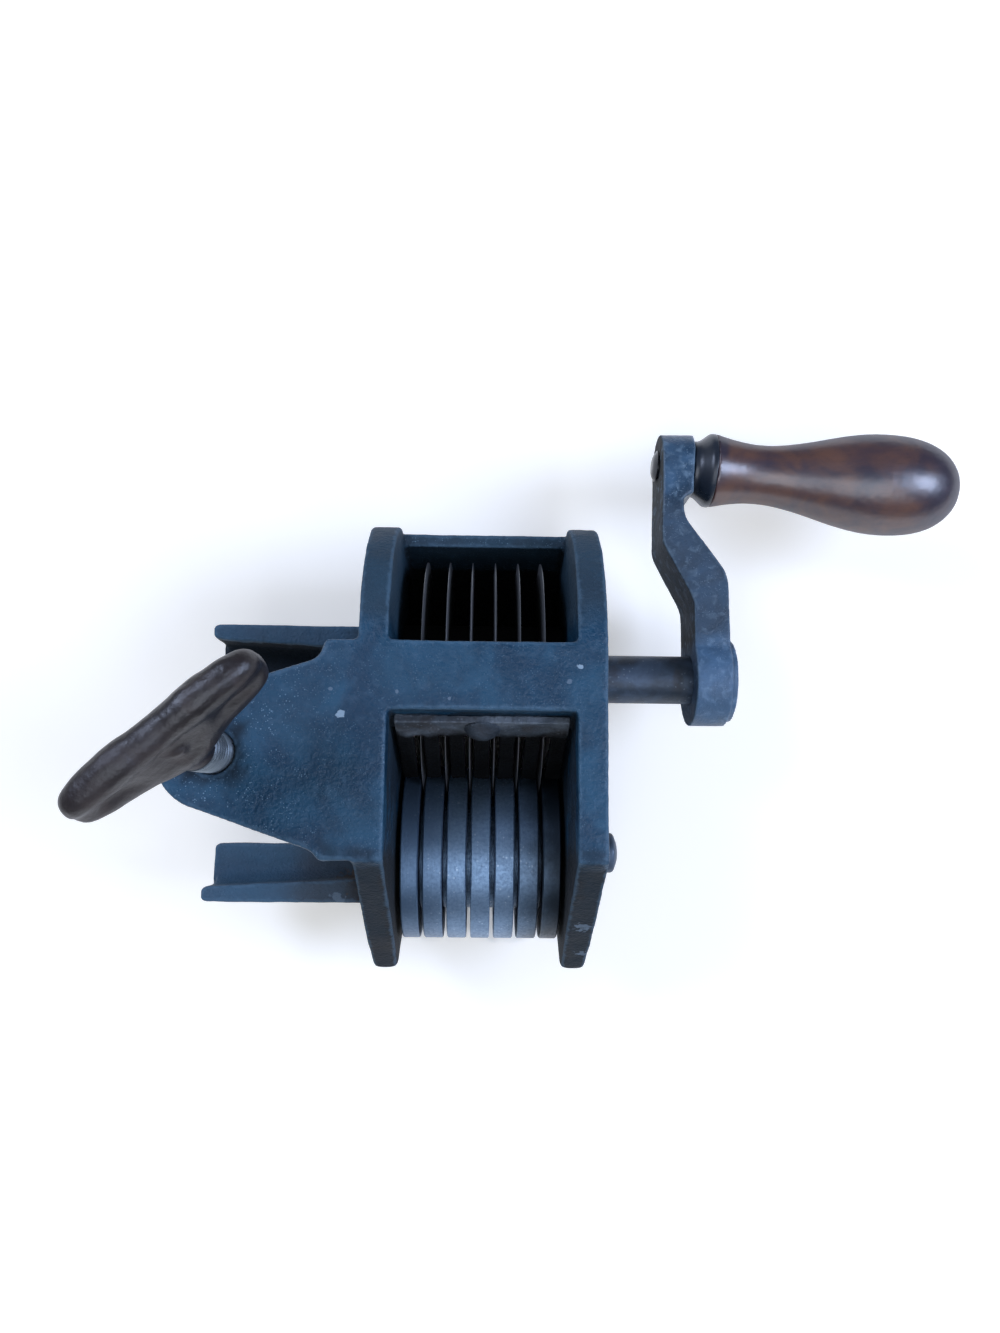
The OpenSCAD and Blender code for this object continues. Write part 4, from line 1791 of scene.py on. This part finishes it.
    def _pad(self) -> Shape:
        """Turns the swivel pad.

        Returns:
            The shape, with its socket for the screw's tip.
        """
        floor = self.thread_from - self.tip_l - self.pad_play
        socket = self.tip_r + self.socket_gap
        profile = eased(
            [
                (0, 0, 0),
                (0, self.pad_r, 0.9),
                (self.pad_rim, self.pad_r, 0.8),
                (self.pad_h, self.pad_collar, 0.8),
                (self.pad_h, socket, 0.2),
                (floor, socket, 0),
                (floor, 0, 0),
            ]
        )
        return self.axis.turned(profile)


@dataclass
class Studio:
    """The floor, the light and the camera."""

    datum: Point
    eye: Point = (0.0, -34.7, 269.7)
    sight: Point = (0.017, 0.139, -0.990)
    roll: float = -0.6
    lens: float = 27.0
    floor_half: float = 1500.0
    floor_colour: str = "#fffaf0"
    floor_glow: float = 0.22
    under: Stretch = Stretch((-22, -71, -99), (22, 30, 99), 4, 1.0)
    sky_colour: str = "#eaf2ff"
    sky_strength: float = 0.2

    def build(self) -> None:
        """Sets up everything round the object."""
        bpy.context.scene.view_settings.view_transform = "Standard"
        self._floor()
        self._sky()
        self._lamp("ceiling", (60, -420, 860), 700, 4.0, "#e8f0ff")
        self._lamp("right_window", (640, -30, 680), 400, 6.0, "#cadbff")
        self._lamp("left_window", (-560, 330, 740), 340, 4.6, "#cfdeff")
        self._camera()

    def _floor(self) -> None:
        """Lays a pale floor under the object."""
        half = self.floor_half
        corners = np.array([[-half, -half, 0], [half, -half, 0], [half, half, 0], [-half, half, 0]])
        floor = Shape(corners, [(0, 1, 2, 3)]).piece("floor")
        material = bpy.data.materials.new("pale_floor")
        material.use_nodes = True
        shader = material.node_tree.nodes["Principled BSDF"]
        shader.inputs["Base Color"].default_value = tint(self.floor_colour)
        shader.inputs["Roughness"].default_value = 0.9
        shader.inputs["Specular IOR Level"].default_value = 0.1
        graph = Graph(material.node_tree)
        path = graph.add("ShaderNodeLightPath").outputs
        seen = graph.calc("MAXIMUM", path["Is Camera Ray"], path["Is Glossy Ray"])
        seen = graph.calc("MAXIMUM", seen, path["Is Transmission Ray"])
        shade = self.under.strength(graph, graph.place(self.datum))
        glow = graph.mix(shade, tint(self.floor_colour), tint("#000000"))
        graph.feed(shader.inputs["Emission Color"], glow)
        graph.feed(shader.inputs["Emission Strength"], graph.calc("MULTIPLY", seen, self.floor_glow))
        floor.data.materials.append(material)
        floor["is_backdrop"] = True

    def _sky(self) -> None:
        """Fills the room with even light."""
        world = bpy.data.worlds.new("room")
        world.use_nodes = True
        back = world.node_tree.nodes["Background"]
        back.inputs["Color"].default_value = tint(self.sky_colour)
        back.inputs["Strength"].default_value = self.sky_strength
        bpy.context.scene.world = world

    def _lamp(self, name: str, spot: Point, size: float, power: float, colour: str) -> None:
        """Hangs a soft lamp that faces the object.

        Args:
            name: The lamp's name.
            spot: Where it hangs.
            size: Its side.
            power: Its power in watts.
            colour: Its colour.
        """
        data = bpy.data.lights.new(name, "AREA")
        data.size = size * MM
        data.energy = power
        data.color = tint(colour)[:3]
        lamp = bpy.data.objects.new(name, data)
        lamp.location = Vector(spot) * MM
        lamp.rotation_euler = (-Vector(spot)).to_track_quat("-Z", "Y").to_euler()
        bpy.context.scene.collection.objects.link(lamp)

    def _camera(self) -> None:
        """Stands the camera where the photograph was taken."""
        data = bpy.data.cameras.new("camera")
        data.lens = self.lens
        data.clip_start = 0.01
        camera = bpy.data.objects.new("camera", data)
        ahead = Vector(self.sight).normalized()
        right = ahead.cross(Vector((0, 1, 0))).normalized()
        up = right.cross(ahead)
        turn = Matrix((right, up, -ahead)).transposed()
        tilt = Matrix.Rotation(math.radians(self.roll), 3, ahead)
        spot = Vector(self.datum) + Vector(self.eye)
        camera.matrix_world = Matrix.Translation(spot * MM) @ (tilt @ turn).to_4x4()
        bpy.context.scene.collection.objects.link(camera)
        bpy.context.scene.camera = camera


def main() -> None:
    """Builds each sub-assembly in order, then the studio."""
    logging.basicConfig(level=logging.INFO, format="%(name)s: %(message)s")
    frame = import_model()
    frame_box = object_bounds()
    shop = Workshop(frame, frame_box)
    Studio(shop.datum).build()
    FrameCasting(shop).build()
    StripperComb(shop).build()
    rotor = SlicingRotor(shop, Axis.of_joint(frame, "crank_turn"))
    rotor.build()
    Roller(shop, Axis.of_joint(frame, "roller_spin"), rotor.centres()).build()
    Crank(shop).build()
    Handle(shop, Axis.of_joint(frame, "handle_spin")).build()
    Clamp(shop, Axis.of_joint(frame, "screw_turn")).build()


if __name__ == "__main__":
    main()
